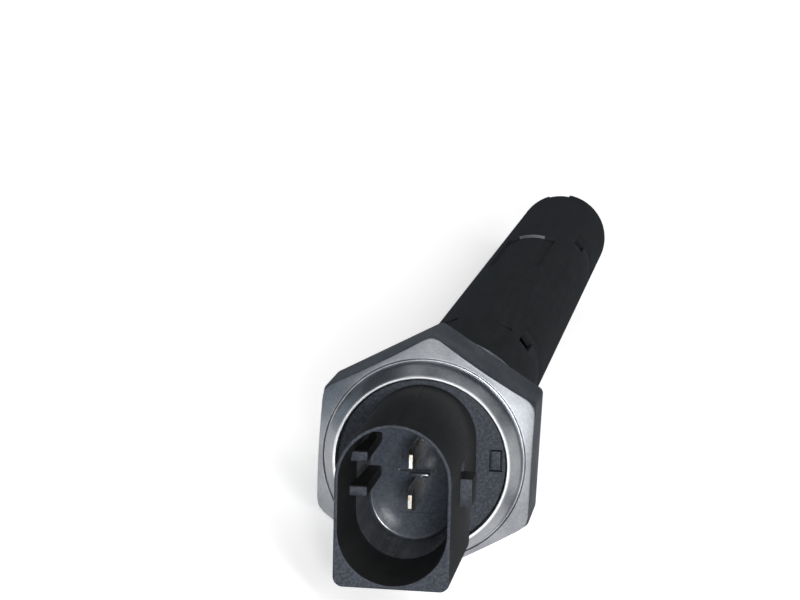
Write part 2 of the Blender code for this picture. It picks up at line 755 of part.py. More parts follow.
def make_potting():
    potting = turned(
        "terminal_potting",
        [
            (0.0, POTTING_END),
            (HOUSING_SPIGOT_INNER - GAP, POTTING_END),
            (HOUSING_SPIGOT_INNER - GAP, POTTING_START),
            (0.0, POTTING_START),
        ],
        RESIN,
        CONNECTOR,
    )
    for number, centre in enumerate(BLADE_CENTRES):
        tail = block(
            f"blade_tail_{number}",
            (
                BLADE_OFFSET - BLADE_THICKNESS / 2 - GAP,
                centre - BLADE_WIDTH / 2 - GAP,
                POTTING_START - OVERRUN,
            ),
            (
                BLADE_OFFSET + BLADE_THICKNESS / 2 + GAP,
                centre + BLADE_WIDTH / 2 + GAP,
                BLADE_BACK + GAP,
            ),
            None,
            CONNECTOR,
        )
        passage = rod(
            f"lead_passage_{number}",
            LEAD_RADIUS + SEAL_GAP,
            BLADE_BACK - GAP,
            POTTING_END + OVERRUN,
            None,
            CONNECTOR,
            place=(BLADE_OFFSET, centre, 0.0),
        )
        combine(potting, tail, "DIFFERENCE")
        combine(potting, passage, "DIFFERENCE")


def make_tube():
    groove_inner = SPIGOT_RADIUS - (SPIGOT_SEAL_CORD + 2 * SEAL_GAP - GAP)
    groove_half = SPIGOT_SEAL_CORD / 2 + SEAL_GAP
    funnel = TUBE_START + (TUBE_INNER_RADIUS - SPIGOT_INNER_RADIUS)
    tube = turned(
        "protective_tube",
        [
            (TUBE_TIP_RADIUS - TUBE_EDGE, TUBE_END),
            (TUBE_TIP_RADIUS, TUBE_END - TUBE_EDGE),
            (TUBE_RADIUS, TUBE_START + TUBE_EDGE),
            (TUBE_RADIUS - TUBE_EDGE, TUBE_START),
            (SPIGOT_NECK_RADIUS, TUBE_START),
            (SPIGOT_NECK_RADIUS, NOSE_END - 3 * NOSE_CRIMP - GAP),
            (SPIGOT_RADIUS, NOSE_END - 4 * NOSE_CRIMP - GAP),
            (SPIGOT_RADIUS, SPIGOT_SEAL_POSITION + groove_half),
            (groove_inner, SPIGOT_SEAL_POSITION + groove_half),
            (groove_inner, SPIGOT_SEAL_POSITION - groove_half),
            (SPIGOT_RADIUS, SPIGOT_SEAL_POSITION - groove_half),
            (SPIGOT_RADIUS, SPIGOT_START),
            (SPIGOT_INNER_RADIUS, SPIGOT_START),
            (SPIGOT_INNER_RADIUS, TUBE_START + TUBE_SHOULDER),
            (TUBE_INNER_RADIUS, funnel + TUBE_SHOULDER),
            (TUBE_TIP_INNER_RADIUS, TUBE_END),
        ],
        BLACK_PLASTIC,
        AXIS,
    )
    through = (TUBE_TIP_INNER_RADIUS - OVERRUN, TUBE_RADIUS + OVERRUN)
    for number, centre in enumerate(WINDOW_CENTRES):
        span = (centre - WINDOW_HEIGHT / 2, centre + WINDOW_HEIGHT / 2)
        combine(tube, sector(f"window_{number}", WINDOW_ANGLES, through, span, AXIS), "DIFFERENCE")
    for number, side in enumerate((1.0, -1.0)):
        middle = side * math.pi / 2
        angles = (middle - LATCH_WINDOW_HALF_ANGLE, middle + LATCH_WINDOW_HALF_ANGLE)
        span = (LATCH_WINDOW_START, LATCH_WINDOW_END)
        opening = sector(f"latch_window_{number}", angles, through, span, AXIS, steps=4)
        combine(tube, opening, "DIFFERENCE")
    panel_radius = (TUBE_RADIUS + TUBE_TIP_RADIUS) / 2 - LABEL_DEPTH
    panel = sector(
        "label_panel", LABEL_ANGLES, (panel_radius, TUBE_RADIUS + OVERRUN), LABEL_SPAN, AXIS
    )
    combine(tube, panel, "DIFFERENCE")
    for number, angle in enumerate(VENT_ANGLES):
        vent = rod(
            f"vent_{number}",
            VENT_RADIUS,
            through[0] - OVERRUN,
            through[1],
            None,
            AXIS,
            turn=(math.pi / 2, 0.0, angle),
            place=(0.0, 0.0, VENT_POSITION),
        )
        combine(tube, vent, "DIFFERENCE")
    beyond = TUBE_END + OVERRUN
    notch = sector(
        "end_notch", END_NOTCH_ANGLES, through, (TUBE_END - END_NOTCH_DEPTH, beyond), AXIS, steps=4
    )
    low = sector("end_low", END_LOW_ANGLES, through, (TUBE_END - END_LOW_DEPTH, beyond), AXIS)
    combine(tube, notch, "DIFFERENCE")
    combine(tube, low, "DIFFERENCE")


def make_spigot_seal():
    radius = BORE_RADIUS - SEAL_GAP - SPIGOT_SEAL_CORD / 2
    ring_seal("spigot_oring", radius, SPIGOT_SEAL_CORD, SPIGOT_SEAL_POSITION, RUBBER, AXIS)


def make_carrier():
    """An H-section spine with two snap tongues; its web's plain side faces the windows."""
    half = CARRIER_WEB / 2
    carrier = block(
        "wire_carrier",
        (-CARRIER_NECK_HALF_WIDTH, -half, CARRIER_START),
        (CARRIER_NECK_HALF_WIDTH, half, CARRIER_NECK_END + OVERRUN),
        NATURAL_PLASTIC,
        CARRIER,
    )
    web = block(
        "carrier_web",
        (-CARRIER_HALF_WIDTH, -half, CARRIER_NECK_END),
        (CARRIER_HALF_WIDTH, half, CARRIER_END),
        None,
        CARRIER,
    )
    combine(carrier, web, "UNION")
    for number, side in enumerate((1.0, -1.0)):
        outer = side * CARRIER_HALF_WIDTH
        inner = side * (CARRIER_HALF_WIDTH - CARRIER_RAIL_THICKNESS)
        rail = block(
            f"carrier_rail_{number}",
            (min(outer, inner), -CARRIER_RAIL_HEIGHT / 2, CARRIER_NECK_END + CARRIER_RAIL_SETBACK),
            (max(outer, inner), CARRIER_RAIL_HEIGHT / 2, CARRIER_END - CARRIER_RAIL_SETBACK),
            None,
            CARRIER,
        )
        combine(carrier, rail, "UNION")
    for number, centre in enumerate(WINDOW_CENTRES):
        low = centre - WINDOW_HEIGHT / 2 + TONGUE_SLIT
        high = centre + WINDOW_HEIGHT / 2 - TONGUE_SLIT
        outer = TUBE_TIP_RADIUS
        tongue = sector(
            f"tongue_{number}", TONGUE_ANGLES, (outer - TONGUE_THICKNESS, outer), (low, high), AXIS
        )
        stem = block(
            f"tongue_stem_{number}",
            (-TONGUE_STEM_WIDTH / 2, -(outer - 0.5 * TONGUE_THICKNESS), centre - TONGUE_STEM_LENGTH / 2),
            (TONGUE_STEM_WIDTH / 2, 0.0, centre + TONGUE_STEM_LENGTH / 2),
            None,
            CARRIER,
        )
        combine(carrier, stem, "UNION")
        combine(carrier, tongue, "UNION")
    hole = rod(
        "pin_hole",
        PIN_RADIUS + GAP,
        -2 * CARRIER_WEB,
        2 * CARRIER_WEB,
        None,
        CARRIER,
        turn=(math.pi / 2, 0.0, 0.0),
        place=(0.0, 0.0, PIN_POSITION),
    )
    combine(carrier, hole, "DIFFERENCE")


def make_ferrules():
    for name, side in zip(("crimp_ferrule_upper", "crimp_ferrule_lower"), TRACK_SIDES):
        inner = SENSING_WIRE_RADIUS + SEAL_GAP
        ferrule = turned(
            name,
            [
                (FERRULE_RADIUS, FERRULE_END),
                (FERRULE_RADIUS, FERRULE_START),
                (inner, FERRULE_START),
                (inner, FERRULE_END),
            ],
            TINNED_BRASS,
            CARRIER,
            steps=SMALL_STEPS,
        )
        ferrule.location = (TRACK_HALF_PITCH * side, TRACK_HEIGHT, 0.0)


def make_sensing_wire():
    """Up one track, round the hook and back down the other."""
    start = FERRULE_START + 0.5 * FERRULE_LENGTH
    bend = arc((0.0, HOOK_POSITION), TRACK_HALF_PITCH, 0.0, math.pi, 12)
    outline = [(TRACK_HALF_PITCH, start)] + bend + [(-TRACK_HALF_PITCH, start)]
    route = [(x, TRACK_HEIGHT, along) for x, along in outline]
    tube_curve("sensing_wire", route, SENSING_WIRE_RADIUS, NICKEL, CARRIER, resolution=1)


def make_hook():
    """A small moulded pulley that the wire turns round, with an eye for the spring."""
    half = HOOK_THICKNESS / 2
    rim = half - HOOK_FLANGE
    hook = turned(
        "wire_hook",
        [
            (0.0, half),
            (HOOK_FLANGE_RADIUS, half),
            (HOOK_FLANGE_RADIUS, rim),
            (HOOK_GROOVE_RADIUS, rim),
            (HOOK_GROOVE_RADIUS, -rim),
            (HOOK_FLANGE_RADIUS, -rim),
            (HOOK_FLANGE_RADIUS, -half),
            (0.0, -half),
        ],
        NATURAL_PLASTIC,
        HOOK,
        steps=24,
    )
    eye = block(
        "hook_tail",
        (-HOOK_EYE_RADIUS * 2, 0.0, -half),
        (HOOK_EYE_RADIUS * 2, HOOK_EYE_REACH, -rim),
        None,
        HOOK,
    )
    combine(hook, eye, "UNION")
    hole = rod(
        "hook_eye",
        HOOK_EYE_RADIUS,
        -HOOK_THICKNESS,
        HOOK_THICKNESS,
        None,
        HOOK,
        place=(0.0, HOOK_EYE_REACH - 2 * HOOK_EYE_RADIUS, 0.0),
    )
    combine(hook, hole, "DIFFERENCE")


def make_spring():
    """A tension coil between the hook's tail and the pin."""
    start = HOOK_POSITION + HOOK_EYE_REACH + GAP + SPRING_WIRE_RADIUS
    end = PIN_POSITION - PIN_RADIUS - GAP - SPRING_WIRE_RADIUS
    count = SPRING_TURNS * SPRING_STEPS_PER_TURN
    route = []
    for i in range(count + 1):
        turn = math.tau * SPRING_TURNS * i / count
        route.append(
            (
                SPRING_RADIUS * math.cos(turn),
                TRACK_HEIGHT + SPRING_RADIUS * math.sin(turn),
                start + (end - start) * i / count,
            )
        )
    tube_curve("tension_spring", route, SPRING_WIRE_RADIUS, STEEL, CARRIER, resolution=1)


def make_pin():
    reach = TRACK_HEIGHT + SPRING_RADIUS
    grip = CARRIER_WEB / 2 + PIN_GRIP
    pin = turned(
        "spring_pin",
        [
            (0.0, grip),
            (PIN_RADIUS, grip),
            (PIN_RADIUS, -reach),
            (PIN_HEAD_RADIUS, -reach),
            (PIN_HEAD_RADIUS, -reach - PIN_HEAD_LENGTH),
            (0.0, -reach - PIN_HEAD_LENGTH),
        ],
        STEEL,
        CARRIER,
        steps=SMALL_STEPS,
    )
    pin.rotation_euler = (math.pi / 2, 0.0, 0.0)
    pin.location = (0.0, 0.0, PIN_POSITION)


def make_end_plug():
    inner = PLUG_RADIUS - PLUG_WALL
    face = PLUG_END - PLUG_FACE_THICKNESS
    plug = turned(
        "end_plug",
        [
            (PLUG_ORIFICE_RADIUS, PLUG_END),
            (PLUG_RADIUS, PLUG_END),
            (PLUG_RADIUS, PLUG_START),
            (inner, PLUG_START),
            (inner, face),
            (PLUG_ORIFICE_RADIUS, face),
        ],
        BLACK_PLASTIC,
        AXIS,
    )
    low = LATCH_WINDOW_START + GAP
    high = LATCH_WINDOW_END - GAP
    play = GAP / TUBE_TIP_INNER_RADIUS
    for number, side in enumerate((1.0, -1.0)):
        middle = side * math.pi / 2
        angles = (
            middle - LATCH_WINDOW_HALF_ANGLE + play,
            middle + LATCH_WINDOW_HALF_ANGLE - play,
        )
        radii = (PLUG_RADIUS - 0.5 * PLUG_WALL, LATCH_REACH)
        latch = sector(f"latch_{number}", angles, radii, (low, high), AXIS, steps=4)
        combine(plug, latch, "UNION")


for leftover in list(bpy.data.objects):
    bpy.data.objects.remove(leftover)

PIECES = collection("oil_level_sensor")
CUTTERS = collection("cutters")

STEEL = material("turned_steel", (0.55, 0.56, 0.58), 0.3, 1.0)
ALUMINIUM = material("washer_aluminium", (0.72, 0.73, 0.74), 0.35, 1.0)
BLACK_PLASTIC = material("black_plastic", (0.02, 0.021, 0.023), 0.4, 0.0)
NATURAL_PLASTIC = material("carrier_plastic", (0.04, 0.042, 0.045), 0.45, 0.0)
RUBBER = material("black_rubber", (0.015, 0.015, 0.015), 0.7, 0.0)
TINNED_BRASS = material("tinned_brass", (0.75, 0.7, 0.55), 0.25, 1.0)
COPPER = material("copper", (0.72, 0.42, 0.28), 0.3, 1.0)
NICKEL = material("nickel_alloy", (0.6, 0.58, 0.54), 0.3, 1.0)
RESIN = material("potting_resin", (0.03, 0.03, 0.03), 0.3, 0.0)
SLEEVE_PLASTIC = material("sleeve_plastic", (0.5, 0.06, 0.05), 0.5, 0.0)

AXIS = empty(
    "sensor_axis", None, turn=(-math.pi / 2, 0.0, 0.0), place=(0.0, -FOOTPRINT_MIDDLE, AXIS_HEIGHT)
)
CONNECTOR = empty("connector_clocking", AXIS, turn=(0.0, 0.0, CONNECTOR_CLOCKING))
CARRIER = empty("carrier_clocking", AXIS, turn=(0.0, 0.0, CARRIER_CLOCKING + math.pi / 2))
HOOK = empty(
    "hook_seat",
    CARRIER,
    turn=(math.pi / 2, 0.0, 0.0),
    place=(0.0, TRACK_HEIGHT, HOOK_POSITION),
)

make_hex_body()
make_washer()
make_housing()
make_flange_seal()
make_blades()
make_potting()
make_leads()
make_sleeves()
make_tube()
make_spigot_seal()
make_carrier()
make_ferrules()
make_sensing_wire()
make_hook()
make_spring()
make_pin()
make_end_plug()

for piece in PIECES.objects:
    smooth(piece)
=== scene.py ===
import math
from functools import partial

import bmesh
import bpy
from mathutils import Matrix, Vector


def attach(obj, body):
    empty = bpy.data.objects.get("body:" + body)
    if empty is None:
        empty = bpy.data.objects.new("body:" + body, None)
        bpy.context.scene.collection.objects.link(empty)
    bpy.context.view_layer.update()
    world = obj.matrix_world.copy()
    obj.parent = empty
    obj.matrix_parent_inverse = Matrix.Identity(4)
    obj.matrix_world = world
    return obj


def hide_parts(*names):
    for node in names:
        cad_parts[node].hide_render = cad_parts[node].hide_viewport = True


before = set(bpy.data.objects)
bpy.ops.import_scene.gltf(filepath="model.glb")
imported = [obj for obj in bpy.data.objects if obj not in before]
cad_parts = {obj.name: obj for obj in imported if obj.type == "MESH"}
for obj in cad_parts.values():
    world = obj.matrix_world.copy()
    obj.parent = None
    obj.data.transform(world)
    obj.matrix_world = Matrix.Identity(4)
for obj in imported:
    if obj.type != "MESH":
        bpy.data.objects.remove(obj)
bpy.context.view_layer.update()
scene = bpy.context.scene
scene.view_settings.view_transform = "Standard"

# Studio. The sensor lies on a pale sheet that leans by 1.3 degrees, so that the hexagon's rear edge and
# the tube's lip both touch it. The lamps are wide and soft, and the sheet glows more far from them.
# Cards that only gloss can see give the steel its contrast and keep the plastic black.
MM = 0.001
HEX_SEAT = -80.45
TUBE_LIP_HEIGHT = 4.65
TUBE_REACH = 200.0
SHEET_HALF_WIDTH = 6.0
SHEET_TONE = 0.85
SURROUND_LIGHT = 0.34
CAMERA_LENS = 115.8
CAMERA_PLACE = (-0.003339, -0.405244, 0.095525)
CAMERA_FORWARD = (-0.03199, 0.97743, -0.20883)
CAMERA_UP = (-0.56090, 0.15538, 0.81317)
LAMP_AIM = (0.0, -0.06, 0.01)
LAMPS = {
    "key_lamp": ((0.145, -0.97, 0.235), 0.16, 3.6),
    "front_lamp": ((0.10, -0.98, 0.13), 0.22, 3.6),
    "side_lamp": ((0.52, -0.85, 0.62), 0.50, 2.0),
    "top_lamp": ((0.10, -0.45, 1.00), 0.70, 2.4),
    "fill_lamp": ((-0.80, -0.70, 0.40), 0.60, 0.8),
}
SHEET_GLOW = (0.52, 1.0)
SHEET_GLOW_RISE = (0.15, 1.2)
CARD_TINT = (0.88, 1.0, 1.15)
CARDS = {
    "rear_card": (0.09, ((-2.0, 1.5, -0.1), (2.0, 1.5, -0.1), (2.0, 1.2, 1.5), (-2.0, 1.2, 1.5))),
    "upper_card": (0.09, ((-1.5, 1.2, 1.5), (1.5, 1.2, 1.5), (1.5, -0.3, 1.75), (-1.5, -0.3, 1.75))),
    "lower_card": (
        0.09,
        ((-0.6, -0.066, 0.001), (0.6, -0.066, 0.001), (0.6, 1.5, 0.038), (-0.6, 1.5, 0.038)),
    ),
    "left_card": (0.09, ((-1.3, -1.2, -0.02), (-1.3, 0.8, 0.02), (-1.1, 0.8, 0.9), (-1.1, -1.2, 0.9))),
    "front_card": (
        0.06,
        ((-0.12, -0.6, -0.02), (0.10, -0.6, -0.02), (0.06, -0.125, 0.0005), (-0.06, -0.125, 0.0005)),
    ),
    "low_left_card": (
        0.42,
        ((-1.3, -1.2, -0.02), (-0.03, -1.2, -0.02), (-0.03, -0.066, 0.001), (-1.3, -0.066, 0.001)),
    ),
}


def add_node(tree, kind, settings, sockets, output=0):
    """Add a node, set it up, then give its sockets values or links; returns the wire it feeds."""
    node = tree.nodes.new(kind)
    for name, value in settings.items():
        if name == "stops":
            ramp = node.color_ramp
            while len(ramp.elements) < len(value):
                ramp.elements.new(0.5)
            for element, (position, tone) in zip(ramp.elements, value):
                element.position = position
                element.color = tone if isinstance(tone, tuple) else (tone, tone, tone, 1.0)
        else:
            setattr(node, name, value)
    for name, value in sockets.items():
        if isinstance(value, Wire):
            tree.links.new(value.socket, node.inputs[name])
        else:
            node.inputs[name].default_value = value
    return Wire(tree, node.outputs[output])


class Wire:
    """An output socket that can be reckoned with: each operation adds its Math node."""

    def __init__(self, tree, socket):
        self.tree = tree
        self.socket = socket

    def maths(self, operation, *values):
        return add_node(self.tree, "ShaderNodeMath", {"operation": operation}, dict(enumerate(values)))

    def __add__(self, other):
        return self.maths("ADD", self, other)

    def __sub__(self, other):
        return self.maths("SUBTRACT", self, other)

    def __rsub__(self, other):
        return self.maths("SUBTRACT", other, self)

    def __mul__(self, other):
        return self.maths("MULTIPLY", self, other)

    def __truediv__(self, other):
        return self.maths("DIVIDE", self, other)

    def __rtruediv__(self, other):
        return self.maths("DIVIDE", other, self)

    def __pow__(self, other):
        return self.maths("POWER", self, other)

    __radd__ = __add__
    __rmul__ = __mul__

    def size(self):
        return self.maths("ABSOLUTE", self)

    def least(self, other):
        return self.maths("MINIMUM", self, other)

    def most(self, other):
        return self.maths("MAXIMUM", self, other)

    def above(self, other):
        return self.maths("GREATER_THAN", self, other)

    def below(self, other):
        return self.maths("LESS_THAN", self, other)

    def ramp(self, low, high, start=0.0, end=1.0):
        """Climbs smoothly from start to end as this value goes from low to high."""
        settings = {"interpolation_type": "SMOOTHSTEP", "clamp": True}
        sockets = {0: self, 1: low, 2: high, 3: start, 4: end}
        return add_node(self.tree, "ShaderNodeMapRange", settings, sockets)


def light_path_share(tree):
    """1 for what the camera sees, straight, mirrored or through glass, else 0."""
    seen = [
        add_node(tree, "ShaderNodeLightPath", {}, {}, output)
        for output in ("Is Camera Ray", "Is Glossy Ray", "Is Transmission Ray")
    ]
    return seen[0].most(seen[1]).most(seen[2])


def studio_card(name, corners, material):
    """A flat sheet of the studio, finely divided so that it isn't one bare face."""
    mesh = bpy.data.meshes.new(name)
    work = bmesh.new()
    work.faces.new([work.verts.new(corner) for corner in corners])
    bmesh.ops.subdivide_edges(work, edges=work.edges, cuts=4, use_grid_fill=True)
    work.to_mesh(mesh)
    work.free()
    mesh.materials.append(material)
    card = bpy.data.objects.new(name, mesh)
    scene.collection.objects.link(card)
    return card


world = bpy.data.worlds.new("studio_surround")
scene.world = world
world.use_nodes = True
surround = world.node_tree.nodes["Background"]
surround.inputs["Color"].default_value = (1.0, 1.0, 1.0, 1.0)
strength = light_path_share(world.node_tree).ramp(0.0, 1.0, SURROUND_LIGHT, 1.0)
world.node_tree.links.new(strength.socket, surround.inputs["Strength"])

sheet_finish = bpy.data.materials.new("pale_sheet")
sheet_finish.use_nodes = True
sheet_tree = sheet_finish.node_tree
sheet_shader = sheet_tree.nodes["Principled BSDF"]
sheet_shader.inputs["Base Color"].default_value = (SHEET_TONE, SHEET_TONE, SHEET_TONE, 1.0)
sheet_shader.inputs["Roughness"].default_value = 0.9
sheet_shader.inputs["Specular IOR Level"].default_value = 0.0
sheet_shader.inputs["Emission Strength"].default_value = 1.0
spot = add_node(sheet_tree, "ShaderNodeTexCoord", {}, {}, "Object")
away = add_node(sheet_tree, "ShaderNodeVectorMath", {"operation": "LENGTH"}, {0: spot}, "Value")
glow = light_path_share(sheet_tree) * away.ramp(*SHEET_GLOW_RISE, *SHEET_GLOW)
sheet_tree.links.new(glow.socket, sheet_shader.inputs["Emission Color"])
lean = TUBE_LIP_HEIGHT / TUBE_REACH


def sheet_corner(x, y):
    return x, y, (y - HEX_SEAT * MM) * lean


studio_card(
    "pale_sheet",
    [
        sheet_corner(-SHEET_HALF_WIDTH, -SHEET_HALF_WIDTH),
        sheet_corner(SHEET_HALF_WIDTH, -SHEET_HALF_WIDTH),
        sheet_corner(SHEET_HALF_WIDTH, SHEET_HALF_WIDTH),
        sheet_corner(-SHEET_HALF_WIDTH, SHEET_HALF_WIDTH),
    ],
    sheet_finish,
)

for card_name, (card_tone, card_corners) in CARDS.items():
    card_finish = bpy.data.materials.new(card_name)
    card_finish.use_nodes = True
    card_shader = card_finish.node_tree.nodes["Principled BSDF"]
    card_shader.inputs["Base Color"].default_value = (0.0, 0.0, 0.0, 1.0)
    card_shader.inputs["Specular IOR Level"].default_value = 0.0
    card_colour = [card_tone * share for share in CARD_TINT]
    card_shader.inputs["Emission Color"].default_value = (*card_colour, 1.0)
    card_shader.inputs["Emission Strength"].default_value = 1.0
    card = studio_card(card_name, card_corners, card_finish)
    card.visible_camera = False
    card.visible_diffuse = False
    card.visible_shadow = False

for lamp_name, (lamp_place, lamp_size, lamp_power) in LAMPS.items():
    lamp_data = bpy.data.lights.new(lamp_name, "AREA")
    lamp_data.shape = "DISK"
    lamp_data.size = lamp_size
    lamp_data.energy = lamp_power
    lamp = bpy.data.objects.new(lamp_name, lamp_data)
    scene.collection.objects.link(lamp)
    lamp.location = lamp_place
    aim = Vector(LAMP_AIM) - Vector(lamp_place)
    lamp.rotation_euler = aim.to_track_quat("-Z", "Y").to_euler()

camera_up = Vector(CAMERA_UP).normalized()
camera_back = -Vector(CAMERA_FORWARD).normalized()
camera = bpy.data.objects.new("camera", bpy.data.cameras.new("camera"))
scene.collection.objects.link(camera)
camera.data.lens = CAMERA_LENS
camera.data.clip_start = 0.01
camera.matrix_world = Matrix.Translation(CAMERA_PLACE) @ Matrix(
    (camera_up.cross(camera_back), camera_up, camera_back)
).transposed().to_4x4()
scene.camera = camera


# Hexagon body. Free-cutting steel bar, 27 mm across flats, turned, bored and threaded M20 x 1.5 in one
# chucking; the thin collar on the connector side is rolled inwards over the plastic flange to hold it.
# The flats keep the drawn skin of the bar, and the other faces show fine turning marks.
HEX_HALF = 13.5
HEX_MIDDLE = (0.0, HEX_SEAT * MM, HEX_HALF * MM)
SENSOR_FRAME = Matrix.Translation(HEX_MIDDLE) @ Matrix.Rotation(-math.pi / 2, 4, "X")
HALF_CORNER = math.radians(30.0)
HEX_LENGTH = 12.1
HEX_CORNER_ROUNDING = 0.8
HEX_FRONT_ROUNDING = 2.6
HEX_FACE_RADIUS = 12.85
HEX_FACE_SLOPE = math.tan(math.radians(32.0))
COLLAR_RADIUS = 12.5
COLLAR_TOP = -14.9
COLLAR_GROOVE_WIDTH = 0.22
COLLAR_GROOVE_DEPTH = 0.3
ROLL_RADIUS = 11.15
LIP_RADIUS = 10.75
LIP_UNDERSIDE = -13.9
FLANGE_POCKET_RADIUS = 11.7
FLANGE_SEAT = -9.5
BORE_RADIUS = 7.2
NOSE_BORE_RADIUS = 6.7
NOSE_TIP_RADIUS = 7.75
NOSE_END = 17.5
UNDERCUT_RADIUS = 9.5
THREAD_CREST = 10.0
THREAD_DEPTH = 0.85
THREAD_PITCH = 1.5
THREAD_START = 4.2
THREAD_END = 14.7
THREAD_LEAD_IN = 0.85
THREAD_LEAD_OUT = 1.2
THREAD_RUN_OUT = 0.9
THREAD_FLANKS = (0.18, 0.93)
THREAD_WALL_RADIUS = 8.5
THREAD_ROWS = 150


class Finish:
    """A surface: one shader, fed by patterns worked out from the place on the piece."""

    def __init__(self, name, **constants):
        self.material = bpy.data.materials.new(name)
        self.material.use_nodes = True
        self.tree = self.material.node_tree
        self.shader = self.tree.nodes["Principled BSDF"]
        for socket, value in constants.items():
            self.shader.inputs[socket.replace("_", " ")].default_value = value
        self.place = self.node("ShaderNodeTexCoord", {}, {}, "Object")
        parts = self.tree.nodes.new("ShaderNodeSeparateXYZ")
        self.tree.links.new(self.place.socket, parts.inputs[0])
        self.across, world_along, world_height = (Wire(self.tree, out) for out in parts.outputs)
        self.along = world_along - HEX_SEAT * MM
        self.height = world_height - HEX_HALF * MM
        self.radius = (self.across ** 2 + self.height ** 2) ** 0.5

    def node(self, kind, settings, sockets, output=0):
        return add_node(self.tree, kind, settings, sockets, output)

    def noise(self, scale, detail, stretch=None):
        """Cloudy noise, scale per millimetre; stretch draws it out by scaling the place per axis."""
        spot = self.place
        if stretch:
            spot = self.node("ShaderNodeVectorMath", {"operation": "MULTIPLY"}, {0: spot, 1: stretch})
        sockets = {"Vector": spot, "Scale": scale / MM, "Detail": detail}
        return self.node("ShaderNodeTexNoise", {}, sockets)

    def lines(self, run, scale, detail):
        """Noise along one run only, as a tool leaves on a turned face."""
        sockets = {"W": run, "Scale": scale / MM, "Detail": detail}
        return self.node("ShaderNodeTexNoise", {"noise_dimensions": "1D"}, sockets)

    def facing(self, direction):
        """How squarely the surface looks along a direction of the world, either way."""
        settings = {"operation": "DOT_PRODUCT"}
        sockets = {0: self.node("ShaderNodeNewGeometry", {}, {}, "Normal"), 1: direction}
        return self.node("ShaderNodeVectorMath", settings, sockets, "Value").size()

    def mix(self, share, first, second):
        sockets = {0: share, 6: opaque(first), 7: opaque(second)}
        return self.node("ShaderNodeMix", {"data_type": "RGBA"}, sockets, 2)

    def feed(self, colour, roughness):
        self.tree.links.new(colour.socket, self.shader.inputs["Base Color"])
        self.tree.links.new(roughness.socket, self.shader.inputs["Roughness"])

    def relief(self, height, depth, strength):
        """Bump of the given depth in millimetres."""
        sockets = {"Strength": strength, "Distance": depth * MM, "Height": height}
        bump = self.node("ShaderNodeBump", {}, sockets)
        self.tree.links.new(bump.socket, self.shader.inputs["Normal"])


def opaque(tone):
    if isinstance(tone, Wire):
        return tone
    return (*tone, 1.0)


def eased(corners, steps=4):
    """Round a profile of (radius, position, rounding) corners; a corner may skip its rounding."""
    points = []
    for number, corner in enumerate(corners):
        spot = Vector(corner[:2])
        if len(corner) < 3:
            points.append(spot)
            continue
        before = Vector(corners[number - 1][:2]) - spot
        after = Vector(corners[(number + 1) % len(corners)][:2]) - spot
        start = spot + before * min(0.48, corner[2] / before.length)
        end = spot + after * min(0.48, corner[2] / after.length)
        for step in range(steps + 1):
            share = step / steps
            points.append(start.lerp(spot, share).lerp(spot.lerp(end, share), share))
    return points


def skin(rings, closed=True, surface_of=None):
    """Mesh that joins rings of (x, y, position) points; an open run of rings is capped."""
    work = bmesh.new()
    rows = [[work.verts.new(Vector(point) * MM) for point in ring] for ring in rings]
    count = len(rows[0])
    for number in range(len(rows) if closed else len(rows) - 1):
        near, far = rows[number], rows[(number + 1) % len(rows)]
        for i in range(count):
            j = (i + 1) % count
            face = work.faces.new((near[i], near[j], far[j], far[i]))
            face.material_index = surface_of(number) if surface_of else 0
    if not closed:
        for row, number in ((rows[0], 0), (rows[-1], len(rows) - 1)):
            cap = work.faces.new(row)
            cap.material_index = surface_of(number) if surface_of else 0
    bmesh.ops.recalc_face_normals(work, faces=work.faces)
    mesh = bpy.data.meshes.new("skin")
    work.to_mesh(mesh)
    work.free()
    return mesh


def turned(profile, columns, closed=True):
    """Mesh of a (radius, position) profile turned about the sensor's axis."""
    turns = [math.tau * i / columns for i in range(columns)]
    return skin([[(r * math.cos(a), r * math.sin(a), s) for a in turns] for r, s in profile], closed)


def paint(mesh, finishes):
    """Give a mesh its finishes, and keep which of them each face has."""
    kept = [face.material_index for face in mesh.polygons]
    mesh.materials.clear()
    for finish in finishes:
        mesh.materials.append(finish.material)
    mesh.polygons.foreach_set("material_index", kept)


def fit(name, mesh, finishes, node, sharp=32.0, shift=SENSOR_FRAME):
    """Put a finished mesh in place as the piece that stands for a solid of the frame."""
    mesh.transform(shift)
    mesh.name = name
    paint(mesh, finishes)
    mesh.shade_smooth()
    mesh.set_sharp_from_angle(angle=math.radians(sharp))
    piece = bpy.data.objects.new(name, mesh)
    scene.collection.objects.link(piece)
    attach(piece, "root")
    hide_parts(node)
    return piece


def start_recipe(name, sizes):
    """A geometry tree with a named input for each size."""
    tree = bpy.data.node_groups.new(name, "GeometryNodeTree")
    tree.interface.new_socket("Geometry", in_out="INPUT", socket_type="NodeSocketGeometry")
    tree.interface.new_socket("Geometry", in_out="OUTPUT", socket_type="NodeSocketGeometry")
    for size in sizes:
        tree.interface.new_socket(size, in_out="INPUT", socket_type="NodeSocketFloat")
    entry = tree.nodes.new("NodeGroupInput")
    return tree, {socket.name: Wire(tree, socket) for socket in entry.outputs if socket.name}


def end_recipe(tree, geometry, finish):
    whole = add_node(tree, "GeometryNodeRealizeInstances", {}, {0: geometry})
    painted = add_node(tree, "GeometryNodeSetMaterial", {}, {0: whole, 2: finish.material})
    leave = tree.nodes.new("NodeGroupOutput")
    tree.links.new(painted.socket, leave.inputs[0])


def plain_mesh(mesh, prepare):
    """The mesh as it comes out of the modifiers that prepare gives to its holder."""
    holder = bpy.data.objects.new("holder", mesh)
    scene.collection.objects.link(holder)
    prepare(holder)
    bpy.context.view_layer.update()
    finished = holder.evaluated_get(bpy.context.evaluated_depsgraph_get())
    result = bpy.data.meshes.new_from_object(finished)
    bpy.data.objects.remove(holder)
    return result


